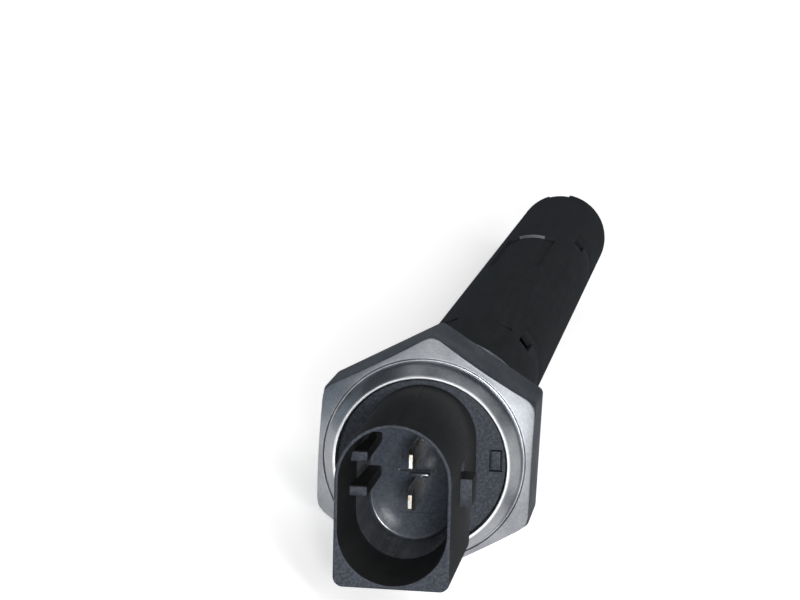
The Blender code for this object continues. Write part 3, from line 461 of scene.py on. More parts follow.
def follow_recipe(tree, sizes, holder):
    modifier = holder.modifiers.new(tree.name, "NODES")
    modifier.node_group = tree
    for item in tree.interface.items_tree:
        if item.in_out == "INPUT" and item.name in sizes:
            modifier[item.identifier] = sizes[item.name]


def hexagon_outline(half, rounding, flat_steps, corner_steps):
    """Points round a hexagon with rounded corners."""
    points = []
    for corner in range(6):
        middle = 2.0 * HALF_CORNER * corner
        reach = (half - rounding) / math.cos(HALF_CORNER)
        centre = Vector((math.cos(middle), math.sin(middle))) * reach
        arc = []
        for step in range(corner_steps + 1):
            turn = middle + HALF_CORNER * (2.0 * step / corner_steps - 1.0)
            arc.append(centre + Vector((math.cos(turn), math.sin(turn))) * rounding)
        if points:
            points += [points[-1].lerp(arc[0], step / flat_steps) for step in range(1, flat_steps)]
        points += arc
    points += [points[-1].lerp(points[0], step / flat_steps) for step in range(1, flat_steps)]
    return points


def hexagon_reach(spot, rounding):
    """How far the rounded hexagon reaches in the direction of a spot."""
    turn = abs((math.atan2(spot.y, spot.x) + HALF_CORNER) % (2.0 * HALF_CORNER) - HALF_CORNER)
    centre = (HEX_HALF - rounding) / math.cos(HALF_CORNER)
    if turn > math.atan2(0.5 * rounding, centre + rounding * math.cos(HALF_CORNER)):
        return HEX_HALF / math.cos(HALF_CORNER - turn)
    return centre * math.cos(turn) + math.sqrt(rounding ** 2 - (centre * math.sin(turn)) ** 2)


def body_rings():
    """The body's profile, from the nose round to the bore, at each point of the hexagon's outline."""
    thread_top = THREAD_END - THREAD_LEAD_IN
    thread_length = THREAD_END - THREAD_START - THREAD_LEAD_OUT
    thread_run = [
        (THREAD_CREST, thread_top - thread_length * row / THREAD_ROWS) for row in range(THREAD_ROWS + 1)
    ]
    columns = []
    for spot in hexagon_outline(HEX_HALF, HEX_CORNER_ROUNDING, 30, 10):
        reach = spot.length
        front = hexagon_reach(spot, HEX_FRONT_ROUNDING)
        edge = -HEX_LENGTH + (front - HEX_FACE_RADIUS) * HEX_FACE_SLOPE
        profile = eased(
            [
                (NOSE_BORE_RADIUS, NOSE_END, 0.2),
                (NOSE_TIP_RADIUS, NOSE_END, 0.4),
                (THREAD_CREST - THREAD_DEPTH, THREAD_END, 0.3),
            ]
            + thread_run
            + [
                (UNDERCUT_RADIUS, THREAD_START, 0.12),
                (UNDERCUT_RADIUS, 0.0, 0.7),
                (reach, 0.0, 0.3),
                (reach, edge + 0.9, 0.5),
                (front, edge, 0.22),
                (HEX_FACE_RADIUS, -HEX_LENGTH, 0.08),
                (COLLAR_RADIUS + COLLAR_GROOVE_WIDTH, COLLAR_GROOVE_DEPTH - HEX_LENGTH, 0.08),
                (COLLAR_RADIUS, COLLAR_GROOVE_DEPTH - HEX_LENGTH, 0.08),
                (COLLAR_RADIUS, COLLAR_TOP + 1.9, 0.7),
                (ROLL_RADIUS, COLLAR_TOP + 0.15, 0.12),
                (ROLL_RADIUS - 0.12, COLLAR_TOP),
                (LIP_RADIUS, COLLAR_TOP, 0.1),
                (LIP_RADIUS, LIP_UNDERSIDE - 0.2),
                (FLANGE_POCKET_RADIUS, LIP_UNDERSIDE),
                (FLANGE_POCKET_RADIUS, FLANGE_SEAT),
                (BORE_RADIUS, FLANGE_SEAT, 0.2),
                (BORE_RADIUS, NOSE_END - 1.0),
            ]
        )
        columns.append([(*(spot * radius / reach), position) for radius, position in profile])
    return [list(ring) for ring in zip(*columns)]


steel = Finish("turned_steel", Metallic=1.0)
slant = steel.across * math.cos(HALF_CORNER)
flats = (
    steel.height.size()
    .most((slant + steel.height * 0.5).size())
    .most((slant - steel.height * 0.5).size())
    .ramp((HEX_HALF - 0.12) * MM, (HEX_HALF - 0.04) * MM)
)
tool_run = steel.radius + steel.along
turning = steel.lines(tool_run, 9.0, 2.0)
drawn = steel.noise(4.0, 3.0, stretch=(1.0, 0.04, 1.0))
marks = steel.node("ShaderNodeMix", {"data_type": "FLOAT"}, {0: flats, 2: turning, 3: drawn})
grit = steel.noise(3.2, 3.0)
stains = steel.noise(0.22, 4.0)
burnished = steel.radius.ramp((ROLL_RADIUS - 0.1) * MM, (ROLL_RADIUS + 0.1) * MM, 1.0, 0.0)
wear = (grit * 0.3 + marks * 0.35 + stains * 0.55).ramp(0.38, 0.90)
plain_steel = steel.mix(wear, (0.22, 0.23, 0.25), (0.42, 0.43, 0.45))
steel.feed(
    colour=steel.mix(burnished, plain_steel, (0.84, 0.85, 0.87)),
    roughness=(stains * 0.2 + grit * 0.10 + 0.20).least(0.6),
)
steel.relief((marks * 0.7 + grit * 0.3) * (1.0 - flats * 0.7), 0.010, 0.7)

thread_tree, thread_size = start_recipe(
    "single_start_thread", ("Crest radius", "Depth", "Pitch", "Start", "End", "Run-out")
)
spot = add_node(thread_tree, "GeometryNodeInputPosition", {}, {})
spot_parts = thread_tree.nodes.new("ShaderNodeSeparateXYZ")
thread_tree.links.new(spot.socket, spot_parts.inputs[0])
spot_x, spot_y, spot_along = (Wire(thread_tree, out) for out in spot_parts.outputs)
spot_radius = (spot_x ** 2 + spot_y ** 2) ** 0.5
turn = spot_x.maths("ARCTAN2", spot_y, spot_x) / math.tau
winding = spot_along / thread_size["Pitch"] - turn
phase = winding.maths("FRACT", winding)
flank = (phase * 2.0 - 1.0).size().ramp(*THREAD_FLANKS)
run_in = spot_along.ramp(thread_size["Start"], thread_size["Start"] + thread_size["Run-out"])
cut = thread_size["Crest radius"] - thread_size["Depth"] * run_in * (1.0 - flank)
on_thread = (
    spot_along.above(thread_size["Start"])
    * spot_along.below(thread_size["End"])
    * spot_radius.above(THREAD_WALL_RADIUS * MM)
)
share = spot_radius.least(cut) / spot_radius
cut_spot = {0: spot_x * share, 1: spot_y * share, 2: spot_along}
threaded = add_node(
    thread_tree,
    "GeometryNodeSetPosition",
    {},
    {
        "Geometry": thread_size["Geometry"],
        "Selection": on_thread,
        "Position": add_node(thread_tree, "ShaderNodeCombineXYZ", {}, cut_spot),
    },
)
end_recipe(thread_tree, threaded, steel)
thread_sizes = {
    "Crest radius": THREAD_CREST * MM,
    "Depth": THREAD_DEPTH * MM,
    "Pitch": THREAD_PITCH * MM,
    "Start": THREAD_START * MM,
    "End": THREAD_END * MM,
    "Run-out": THREAD_RUN_OUT * MM,
}
body = plain_mesh(skin(body_rings()), partial(follow_recipe, thread_tree, thread_sizes))
fit("turned_body", body, [steel], "hex_body", sharp=40.0)

# Crush washer. Stamped from soft aluminium strip, 20 x 26 x 1.5 mm, with slightly rolled edges. It
# hangs loose and a little askew behind the hexagon until the sensor is screwed home.
WASHER_INNER = 10.2
WASHER_OUTER = 13.0
WASHER_HALF = 0.75
WASHER_PLACE = 2.9
WASHER_TILT = math.radians(3.2)

aluminium = Finish("washer_aluminium", Metallic=1.0)
strip = aluminium.noise(2.2, 3.0, stretch=(1.0, 1.0, 0.25))
dents = aluminium.noise(0.5, 3.0)
dulled = (strip * 0.5 + dents * 0.5).ramp(0.3, 0.7)
aluminium.feed(
    colour=aluminium.mix(dulled, (0.52, 0.53, 0.54), (0.80, 0.81, 0.82)),
    roughness=dents * 0.3 + strip * 0.15 + 0.18,
)
aluminium.relief(strip * 0.4 + dents, 0.02, 0.7)
washer = turned(
    eased(
        [
            (WASHER_INNER, WASHER_HALF, 0.25),
            (WASHER_OUTER, WASHER_HALF, 0.35),
            (WASHER_OUTER, -WASHER_HALF, 0.35),
            (WASHER_INNER, -WASHER_HALF, 0.25),
        ]
    ),
    144,
)
askew = Matrix.Translation((0.0, 0.0, WASHER_PLACE * MM)) @ Matrix.Rotation(WASHER_TILT, 4, "Y")
fit(
    "crush_washer",
    washer,
    [aluminium],
    "sealing_washer",
    shift=SENSOR_FRAME @ askew,
)

# Connector housing. One black glass-filled nylon moulding: flange, spigot and a two-way plug socket
# with a round crown and a square foot. Its faces are grainy, and the socket's inside is polished; the
# inside is also painted lighter than the rest, as painted light for the glare that falls into it. A lug
# outside locks the plug, and two ribs inside key it.
CONNECTOR_FRAME = SENSOR_FRAME @ Matrix.Rotation(math.radians(-32.0), 4, "Z")
CONNECTOR_HALF = 6.85
CONNECTOR_CROWN = 9.98
CONNECTOR_FOOT = 9.5
CONNECTOR_CORNER = 1.2
NECK_FOOT = 5.3
NECK_START = -13.2
LEDGE = -19.6
SOCKET_MOUTH = -39.1
SOCKET_STEP = -29.3
SOCKET_FLOOR = -20.9
FLANGE_FACE = -14.2
POTTING_FLOOR = -12.5
NECK_SETBACK = 0.03
LUG = ((6.3, -2.1, -30.5), (8.3, 1.3, -26.2))
LUG_NOTCH = ((6.45, -3.5, -30.3), (7.6, -2.25, -27.2))
FLANGE_POCKET = ((8.5, -2.2, -15.2), (10.1, 0.6, -13.4))
POCKET_INSERT = ((8.72, -1.98, FLANGE_FACE), (9.88, 0.38, -13.0))
PARTING_RIDGE = ((0.1, -10.04, -39.0), (0.25, -9.4, -15.0))
UPPER_RECESS = ((-1.95, -3.15, SOCKET_FLOOR - 1.0), (2.6, -0.4, -19.9))
LOWER_RECESS = ((-1.75, 0.6, SOCKET_FLOOR - 1.0), (2.6, 4.75, -20.6))
FLOOR_BRIDGE = ((-0.3, -0.45, SOCKET_FLOOR - 1.1), (2.0, 0.05, -20.0))
KEY_RIB_CENTRES = (-4.5, -0.3)
KEY_RIB_HALF = 0.65
KEY_RIB_REACH = (-6.5, -4.0)
KEY_RIB_FRONT = -32.1
# From this ring on, the socket's inside takes the polished finish that is painted lighter, as painted
# light.
POLISHED_PAINTED_LIGHTER_FROM_RING = 19
MOUTH_EASE = (0.2, 0.33)


def plug_outline(inset, roundness, foot=CONNECTOR_FOOT):
    """Round crown, straight sides, and a foot whose corners go from square to fully round."""
    half = CONNECTOR_HALF - inset
    square = max(CONNECTOR_CORNER - inset, 0.3)
    corner = square + (half - 0.02 - square) * roundness
    crown_centre = CONNECTOR_HALF - CONNECTOR_CROWN
    foot_centre = foot - inset - corner
    points = []

    def arc(centre, radius, start, sweep, steps):
        for step in range(steps + 1):
            turn = math.radians(start + sweep * step / steps)
            points.append(Vector(centre) + Vector((math.cos(turn), math.sin(turn))) * radius)

    def straight(end, steps):
        start = points[-1].copy()
        points.extend(start.lerp(Vector(end), step / steps) for step in range(1, steps))

    arc((0.0, crown_centre), half, 180.0, 180.0, 64)
    straight((half, foot_centre), 6)
    arc((half - corner, foot_centre), corner, 0.0, 90.0, 16)
    straight((corner - half, foot - inset), 8)
    arc((corner - half, foot_centre), corner, 90.0, 90.0, 16)
    straight((-half, crown_centre), 6)
    return points


def socket_rings():
    """Outlines along the neck, out to the shell, on to the mouth, and inside down to the floor."""
    neck = plug_outline(NECK_SETBACK, 0.0, NECK_FOOT)
    shell = plug_outline(0.0, 0.0)
    rings = [[(*spot, position) for spot in neck] for position in (NECK_START, -16.0, LEDGE)]
    for share, back in ((0.08, 0.0), (0.03, 0.06), (0.008, 0.16), (0.0, 0.32)):
        rings.append([(*wide.lerp(slim, share), LEDGE - back) for wide, slim in zip(shell, neck)])
    wall = eased(
        [
            (0.0, LEDGE - 0.4),
            (0.0, SOCKET_MOUTH, 0.2),
            (0.45, SOCKET_MOUTH, 0.12),
            (0.85, SOCKET_STEP),
            (0.98, SOCKET_STEP + 0.7),
            (1.40, SOCKET_FLOOR, 0.35),
            (2.60, SOCKET_FLOOR),
        ]
    )
    for inset, position in wall:
        roundness = (inset - MOUTH_EASE[0]) / (MOUTH_EASE[1] - MOUTH_EASE[0])
        outline = plug_outline(inset, min(1.0, max(0.0, roundness)))
        rings.append([(*spot, position) for spot in outline])
    return rings


def eased_block(low, high, edge, segments=2, surface=0):
    """A box with rounded edges, as a plain mesh."""
    mesh = bpy.data.meshes.new("block")
    work = bmesh.new()
    bmesh.ops.create_cube(work, size=1.0)
    for vertex in work.verts:
        vertex.co = Vector([a + (b - a) * (c + 0.5) for a, b, c in zip(low, high, vertex.co)]) * MM
    if edge:
        bmesh.ops.bevel(
            work,
            geom=list(work.edges),
            offset=edge * MM,
            segments=segments,
            profile=0.5,
            affect="EDGES",
            clamp_overlap=True,
        )
    for face in work.faces:
        face.material_index = surface
    work.to_mesh(mesh)
    work.free()
    return mesh


def combine(mesh, tools, finishes):
    """Join meshes to a mesh, or cut them out of it, one exact Boolean after the other."""
    holders = []

    def prepare(holder):
        for operation, tool in tools:
            helper = bpy.data.objects.new("tool", tool)
            scene.collection.objects.link(helper)
            holders.append(helper)
            paint(tool, finishes)
            modifier = holder.modifiers.new("step", "BOOLEAN")
            modifier.operation = operation
            modifier.solver = "EXACT"
            modifier.object = helper

    paint(mesh, finishes)
    result = plain_mesh(mesh, prepare)
    for helper in holders:
        bpy.data.objects.remove(helper)
    work = bmesh.new()
    work.from_mesh(result)
    bmesh.ops.remove_doubles(work, verts=work.verts, dist=0.004 * MM)
    bmesh.ops.dissolve_degenerate(work, edges=work.edges, dist=0.002 * MM)
    work.to_mesh(result)
    work.free()
    return result


def moulded_black(name, grain, gloss, tone=0.005, slate=0.034, shine=0.27, matt=0.0):
    """Black moulded plastic: grainy slate ends, and darker sides with flow marks and light scuffs."""
    plastic = Finish(name, Specular_IOR_Level=shine)
    ends = plastic.facing((0.0, 1.0, 0.0)).ramp(0.55, 0.85)
    eroded = plastic.noise(2.6, 4.0)
    fine = plastic.noise(7.0, 2.0)
    flow = plastic.noise(0.9, 3.0, stretch=(1.0, 0.08, 1.0))
    dust = plastic.noise(0.35, 3.0)
    smooth = (1.0 - grain) * 0.25
    sides = plastic.mix(
        (flow * 0.6 + dust * 0.4).ramp(0.35, 0.75),
        (tone * 0.7, tone * 0.75, tone * 0.8),
        (tone * 1.7, tone * 1.8, tone * 1.95),
    )
    faces = plastic.mix(
        (eroded * 0.6 + fine * 0.4).ramp(0.40 - smooth, 0.66 + smooth),
        (slate * 0.42, slate * 0.52, slate * 0.72),
        (slate * 1.30, slate * 1.5, slate * 1.95),
    )
    plastic.feed(
        colour=plastic.mix(ends, sides, faces),
        roughness=eroded * 0.2 * grain + flow * 0.08 + ends * matt + gloss,
    )
    plastic.relief(eroded * (ends * 0.85 + 0.15), 0.03 * grain, 0.6)
    return plastic


housing_plastic = moulded_black("housing_nylon", grain=1.0, gloss=0.48)
# The socket's inside is the same nylon, polished, with its sides painted ten times lighter than the
# housing's: painted light for the glare that falls into the socket.
socket_polish_and_painted_light = moulded_black(
    "polished_socket_painted_lighter", grain=0.1, gloss=0.12, tone=0.05, slate=0.048, shine=0.5
)
housing_finishes = [housing_plastic, socket_polish_and_painted_light]
socket = skin(socket_rings(), closed=False, surface_of=lambda ring: int(ring >= POLISHED_PAINTED_LIGHTER_FROM_RING))
flange = eased(
    [
        (5.7, POTTING_FLOOR),
        (5.7, -2.6, 0.15),
        (6.9, -2.6, 0.3),
        (6.9, -9.8, 0.1),
        (8.6, -9.8, 0.1),
        (8.6, -11.5, 0.1),
        (11.4, -11.5, 0.15),
        (11.4, -13.6, 0.25),
        (10.6, -13.6, 0.1),
        (10.6, FLANGE_FACE, 0.25),
        (9.9, FLANGE_FACE),
    ]
)
housing_tools = [
    ("UNION", turned(flange, 144, closed=False)),
    ("UNION", eased_block(*LUG, 0.22)),
    ("DIFFERENCE", eased_block(*FLANGE_POCKET, 0.0)),
    ("UNION", eased_block(*POCKET_INSERT, 0.05)),
    ("DIFFERENCE", eased_block(*LUG_NOTCH, 0.0)),
]
for rib in KEY_RIB_CENTRES:
    rib_low = (KEY_RIB_REACH[0], rib - KEY_RIB_HALF, KEY_RIB_FRONT)
    rib_high = (KEY_RIB_REACH[1], rib + KEY_RIB_HALF, SOCKET_FLOOR + 0.4)
    housing_tools.append(("UNION", eased_block(rib_low, rib_high, 0.25, segments=3)))
housing_tools += [
    ("UNION", eased_block(*PARTING_RIDGE, 0.03)),
    # The recesses and the bridge in the floor take the same polished finish that is painted lighter.
    ("DIFFERENCE", eased_block(*UPPER_RECESS, 0.0, surface=1)),
    ("DIFFERENCE", eased_block(*LOWER_RECESS, 0.0, surface=1)),
    ("UNION", eased_block(*FLOOR_BRIDGE, 0.12, surface=1)),
]
fit(
    "connector_moulding",
    combine(socket, housing_tools, housing_finishes),
    housing_finishes,
    "connector_housing",
    sharp=28.0,
    shift=CONNECTOR_FRAME,
)

# Terminal blades. Sheared from 0.8 mm brass strip, 2.8 mm wide, tin plated before the tips are coined.
# They are pressed through the socket's floor, and the plating is brightest on the coined tips.
BLADE_TIP = -30.0
BLADE_BACK = -8.5
BLADE_HALF_WIDTH = 1.35
BLADE_HALF_THICKNESS = 0.4
BLADE_OFFSET = 0.8
BLADE_CENTRES = (-3.7, 1.2)


def blade_ring(half_thick, half_wide, position, corner=0.1):
    """A blade's section at one place, with rounded corners."""
    points = []
    for side_x, side_y, start in ((1, 1, 0.0), (-1, 1, 90.0), (-1, -1, 180.0), (1, -1, 270.0)):
        for step in range(4):
            turn = math.radians(start + 30.0 * step)
            points.append(
                (
                    side_x * (half_thick - corner) + corner * math.cos(turn),
                    side_y * (half_wide - corner) + corner * math.sin(turn),
                    position,
                )
            )
    return points


tin = Finish("tinned_brass", Metallic=1.0)
rolling = tin.noise(3.0, 2.0, stretch=(1.0, 0.05, 1.0))
wiping = tin.noise(0.9, 3.0)
sheared = tin.noise(1.3, 2.0, stretch=(1.0, 0.3, 1.0)).ramp(0.52, 0.7)
tin.feed(
    colour=tin.mix(sheared, (0.86, 0.85, 0.82), (0.72, 0.56, 0.33)),
    roughness=rolling * 0.10 + wiping * 0.20 + 0.16,
)
tin.relief(rolling * 0.3 + wiping * 0.7, 0.01, 0.5)
for level, centre in zip(("upper", "lower"), BLADE_CENTRES):
    rings = [
        blade_ring(0.21, 0.82, BLADE_TIP, 0.05),
        blade_ring(0.25, 0.87, BLADE_TIP + 0.06, 0.08),
        blade_ring(0.37, 1.27, BLADE_TIP + 1.05),
        blade_ring(BLADE_HALF_THICKNESS, BLADE_HALF_WIDTH, BLADE_TIP + 1.4),
        blade_ring(BLADE_HALF_THICKNESS, BLADE_HALF_WIDTH, SOCKET_FLOOR),
        blade_ring(BLADE_HALF_THICKNESS, BLADE_HALF_WIDTH, BLADE_BACK),
    ]
    rings = [[(x + BLADE_OFFSET, y + centre, s) for x, y, s in ring] for ring in rings]
    fit(
        f"blade_{level}",
        skin(rings, closed=False),
        [tin],
        f"terminal_blade_{level}",
        shift=CONNECTOR_FRAME,
    )

# Protective tube. One black nylon moulding whose spigot is pressed into the bore behind the thread. Two
# windows and two vents let the oil in, a shallow field is sunk in its side, and the open end is stepped
# and notched so that the end plug can be turned to its place.
TUBE_RADIUS = 9.0
TUBE_TIP_RADIUS = 8.85
TUBE_WALL = 1.3
TUBE_START = 18.1
GRID_START = 24.0
WINDOW_SPANS = ((42.2, 51.0), (148.1, 156.9))
WINDOW_TURNS = (15.0, 75.0)
LATCH_SPAN = (183.4, 190.4)
LATCH_HALF_TURN = 15.0
NOTCH = (197.0, TUBE_REACH, -50.0, -23.0)
LOW_END = (199.3, TUBE_REACH, -170.0, -50.0)
FIELD = (102.5, 136.0, -65.0, -7.0)
FIELD_DEPTH = 0.5
# Turns of the field's far end wall that get a lighter, glossier finish: a painted highlight along that
# edge.
FIELD_PAINTED_GLINT = (FIELD[2] + 14.0, FIELD[3] - 12.0)
SPIGOT_RADIUS = 6.9
SPIGOT_NECK = 6.4
RING_GROOVE = 5.6
SPIGOT_BORE = 5.3
VENT_PLACES = ((43.9, -4.0), (43.9, -58.0))
VENT_RADIUS = 1.35
VENT_REACH = 1.7
VENT_HALF_TURN = 12.0
EDGE_ROUNDING = 0.35

openings = [(low, high, *WINDOW_TURNS) for low, high in WINDOW_SPANS]
for side in (-90.0, 90.0):
    openings.append((*LATCH_SPAN, side - LATCH_HALF_TURN, side + LATCH_HALF_TURN))
openings += [NOTCH, LOW_END]
vent_fields = [
    (s - VENT_REACH, s + VENT_REACH, a - VENT_HALF_TURN, a + VENT_HALF_TURN) for s, a in VENT_PLACES
]


def tube_radius(position):
    """The tube's outer radius, which the mould's draft lessens towards the tip."""
    share = (position - TUBE_START) / (TUBE_REACH - TUBE_START)
    return TUBE_RADIUS + (TUBE_TIP_RADIUS - TUBE_RADIUS) * share


def grid_lines(fixed, low, high, step):
    """Fixed lines with evenly spaced ones between them."""
    lines = sorted(set(fixed) | {low, high})
    filled = []
    for near, far in zip(lines, lines[1:]):
        count = max(1, round((far - near) / step))
        filled += [near + (far - near) * i / count for i in range(count)]
    return filled + [high]


def around(angle, radius, position):
    """A point from its angle about the axis, counted in degrees from the underside."""
    turn = math.radians(angle)
    return radius * math.sin(turn), -radius * math.cos(turn), position


def tube_mesh():
    """Outer and inner skin on one grid, with walls round the openings, round vents and the spigot."""
    edges = [0.05, -0.05]
    stations = [s for low, high, *_ in openings + vent_fields for s in (low, high)]
    stations += [FIELD[0] - e for e in edges] + [FIELD[1] - e for e in edges]
    stations = grid_lines([s for s in stations if s < TUBE_REACH], GRID_START, TUBE_REACH, 6.0)
    crowded = [s for s in stations if any(low < s < high for low, high, *_ in vent_fields)]
    vent_place = VENT_PLACES[0][0]
    vent_rows = {vent_place - VENT_REACH / 2, vent_place, vent_place + VENT_REACH / 2}
    stations = sorted(set(stations) - set(crowded) | vent_rows)
    angles = [a for _, _, low, high in openings + vent_fields for a in (low, high)]
    angles += [FIELD[2] - 8 * e for e in edges] + [FIELD[3] - 8 * e for e in edges]
    angles = grid_lines(angles, -180.0, 180.0, 3.0)[:-1]
    work = bmesh.new()
    weight = work.edges.layers.float.new("bevel_weight_edge")
    field_middle = ((FIELD[0] + FIELD[1]) / 2, (FIELD[2] + FIELD[3]) / 2)
    field_half = ((FIELD[1] - FIELD[0]) / 2, (FIELD[3] - FIELD[2]) / 2)

    def outer_radius(s, a):
        sunk = abs(s - field_middle[0]) < field_half[0] and abs(a - field_middle[1]) < field_half[1]
        return tube_radius(s) - (FIELD_DEPTH if sunk else 0.0)

    def vertex(a, radius, s):
        return work.verts.new(Vector(around(a, radius, s)) * MM)

    skins = [
        [[vertex(a, radius_at(s, a), s) for a in angles] for s in stations]
        for radius_at in (outer_radius, lambda s, a: tube_radius(s) - TUBE_WALL)
    ]

    def within(fields, row, column):
        s = (stations[row] + stations[row + 1]) / 2
        after = angles[column + 1] if column + 1 < len(angles) else 180.0
        a = (angles[column] + after) / 2
        return any(f[0] < s < f[1] and f[2] < a < f[3] for f in fields)

    columns = range(len(angles))
    absent = {
        (row, column)
        for row in range(len(stations) - 1)
        for column in columns
        if within(openings, row, column) or within(vent_fields, row, column)
    }
    vent_cells = {cell for cell in absent if within(vent_fields, *cell)}

    def corners(surface, row, column):
        after = (column + 1) % len(angles)
        near, far = surface[row], surface[row + 1]
        return near[column], near[after], far[after], far[column]

    for row in range(len(stations) - 1):
        for column in columns:
            if (row, column) not in absent:
                work.faces.new(corners(skins[0], row, column))
                work.faces.new(reversed(corners(skins[1], row, column)))

    def wall(outer_pair, inner_pair, rounding):
        work.faces.new((*outer_pair, *reversed(inner_pair)))
        for pair in (outer_pair, inner_pair):
            work.edges.get(pair)[weight] = rounding

    for row in range(len(stations) - 1):
        for column in columns:
            if (row, column) in absent:
                continue
            before, after = (column - 1) % len(angles), (column + 1) % len(angles)
            for other, near, far in (
                ((row, before), (row, column), (row + 1, column)),
                ((row, after), (row + 1, after), (row, after)),
                ((row - 1, column), (row, after), (row, column)),
                ((row + 1, column), (row + 1, column), (row + 1, after)),
            ):
                beyond_end = other[0] == len(stations) - 1
                if other in absent and other not in vent_cells or beyond_end:
                    outer, inner = [(grid[near[0]][near[1]], grid[far[0]][far[1]]) for grid in skins]
                    wall(outer, inner, 1.0 if beyond_end else 0.4)

    for (s, a), field in zip(VENT_PLACES, vent_fields):
        rows = [r for r, v in enumerate(stations) if field[0] - 0.01 < v < field[1] + 0.01]
        cols = [c for c, v in enumerate(angles) if field[2] - 0.01 < v < field[3] + 0.01]
        rim = [(rows[0], c) for c in cols[:-1]] + [(r, cols[-1]) for r in rows[:-1]]
        rim += [(rows[-1], c) for c in cols[:0:-1]] + [(r, cols[0]) for r in rows[:0:-1]]
        hoops = []
        for surface, radius in zip(skins, (tube_radius(s), tube_radius(s) - TUBE_WALL)):
            hoop = []
            for row, column in rim:
                arc_mm = math.radians(angles[column] - a) * TUBE_RADIUS
                turn = math.atan2(stations[row] - s, arc_mm)
                offset = math.degrees(math.asin(VENT_RADIUS * math.cos(turn) / radius))
                hoop.append(vertex(a + offset, radius, s + VENT_RADIUS * math.sin(turn)))
            hoops.append(hoop)
        for i in range(len(rim)):
            j = (i + 1) % len(rim)
            for surface, hoop in zip(skins, hoops):
                near, far = surface[rim[i][0]][rim[i][1]], surface[rim[j][0]][rim[j][1]]
                work.faces.new((near, far, hoop[j], hoop[i]))
            wall((hoops[0][i], hoops[0][j]), (hoops[1][i], hoops[1][j]), 0.4)

    spigot = eased(
        [
            (tube_radius(GRID_START), GRID_START),
            (TUBE_RADIUS, TUBE_START, EDGE_ROUNDING),
            (SPIGOT_NECK, TUBE_START, 0.1),
            (SPIGOT_NECK, 15.7),
            (SPIGOT_RADIUS, 15.2),
            (SPIGOT_RADIUS, 9.8, 0.1),
            (RING_GROOVE, 9.8, 0.1),
            (RING_GROOVE, 8.2, 0.1),
            (SPIGOT_RADIUS, 8.2, 0.1),
            (SPIGOT_RADIUS, 3.1, 0.4),
            (SPIGOT_BORE, 3.1, 0.3),
            (SPIGOT_BORE, 19.3, 0.3),
            (7.7, 21.7, 0.3),
            (tube_radius(GRID_START) - TUBE_WALL, GRID_START),
        ]
    )[1:-1]
    hoops = [skins[0][0]]
    hoops += [[vertex(a, r, s) for a in angles] for r, s in spigot]
    hoops.append(skins[1][0])
    for near, far in zip(hoops, hoops[1:]):
        for i in columns:
            j = (i + 1) % len(angles)
            work.faces.new((near[i], near[j], far[j], far[i]))
    loose = [spare for spare in work.verts if not spare.link_faces]
    bmesh.ops.delete(work, geom=loose, context="VERTS")
    bmesh.ops.recalc_face_normals(work, faces=work.faces)
    # The middle of the field's far end wall takes the second finish, which is lighter: a painted
    # highlight.
    for face in work.faces:
        middle = face.calc_center_median() / MM
        outside = middle.xy.length > tube_radius(middle.z) - 0.4
        on_end_wall = outside and abs(middle.z - FIELD[1]) < 0.2
        angle = math.degrees(math.atan2(middle.x, -middle.y))
        face.material_index = int(on_end_wall and FIELD_PAINTED_GLINT[0] < angle < FIELD_PAINTED_GLINT[1])
    mesh = bpy.data.meshes.new("tube")
    work.to_mesh(mesh)
    work.free()
    return mesh


def round_edges(holder):
    bevel = holder.modifiers.new("edges", "BEVEL")
    bevel.limit_method = "WEIGHT"
    bevel.width = EDGE_ROUNDING * MM
    bevel.segments = 3
    bevel.use_clamp_overlap = False


tube_finishes = [
    moulded_black("tube_nylon", grain=0.35, gloss=0.40, tone=0.008, slate=0.008, matt=0.35),
    # Second finish: lighter and glossier than the tube's own, a painted highlight for the field's far
    # end wall.
    moulded_black("tube_field_edge_painted_glint", grain=0.2, gloss=0.25, tone=0.018, slate=0.036, shine=0.5),
]
tube = tube_mesh()
paint(tube, tube_finishes)
tube = plain_mesh(tube, round_edges)
fit("probe_tube", tube, tube_finishes, "protective_tube", sharp=30.0)

# End plug. A black nylon cup with a drain hole, pushed into the tube's end until its two latches snap
# into the side openings. It closes the tube and lets the oil out slowly, so that the level stays calm.
PLUG_RADIUS = 7.25
PLUG_WALL = 1.2
PLUG_FACE = 198.1
PLUG_START = 179.6
PLUG_BASE = 1.5
DRAIN_RADIUS = 1.9
LATCH_RADIUS = 8.6
LATCH_PLAY = 0.3
LATCH_TURN_PLAY = 2.3


def curved_block(turns, radii, span, edge, steps=12):
    """A block bent about the sensor's axis, with rounded edges."""
    mesh = bpy.data.meshes.new("curved_block")
    work = bmesh.new()
    rows = []
    for step in range(steps + 1):
        a = turns[0] + (turns[1] - turns[0]) * step / steps
        corners = [(radii[0], span[0]), (radii[1], span[0]), (radii[1], span[1]), (radii[0], span[1])]
        rows.append([work.verts.new(Vector(around(a, r, s)) * MM) for r, s in corners])
    for near, far in zip(rows, rows[1:]):
        for i in range(4):
            j = (i + 1) % 4
            work.faces.new((near[i], near[j], far[j], far[i]))
    for row in (rows[0], rows[-1]):
        work.faces.new(row)
    bmesh.ops.recalc_face_normals(work, faces=work.faces)
    hard = [e for e in work.edges if e.calc_face_angle(0.0) > math.radians(40.0)]
    bmesh.ops.bevel(
        work, geom=hard, offset=edge * MM, segments=3, profile=0.5, affect="EDGES", clamp_overlap=True
    )
    work.to_mesh(mesh)
    work.free()
    return mesh


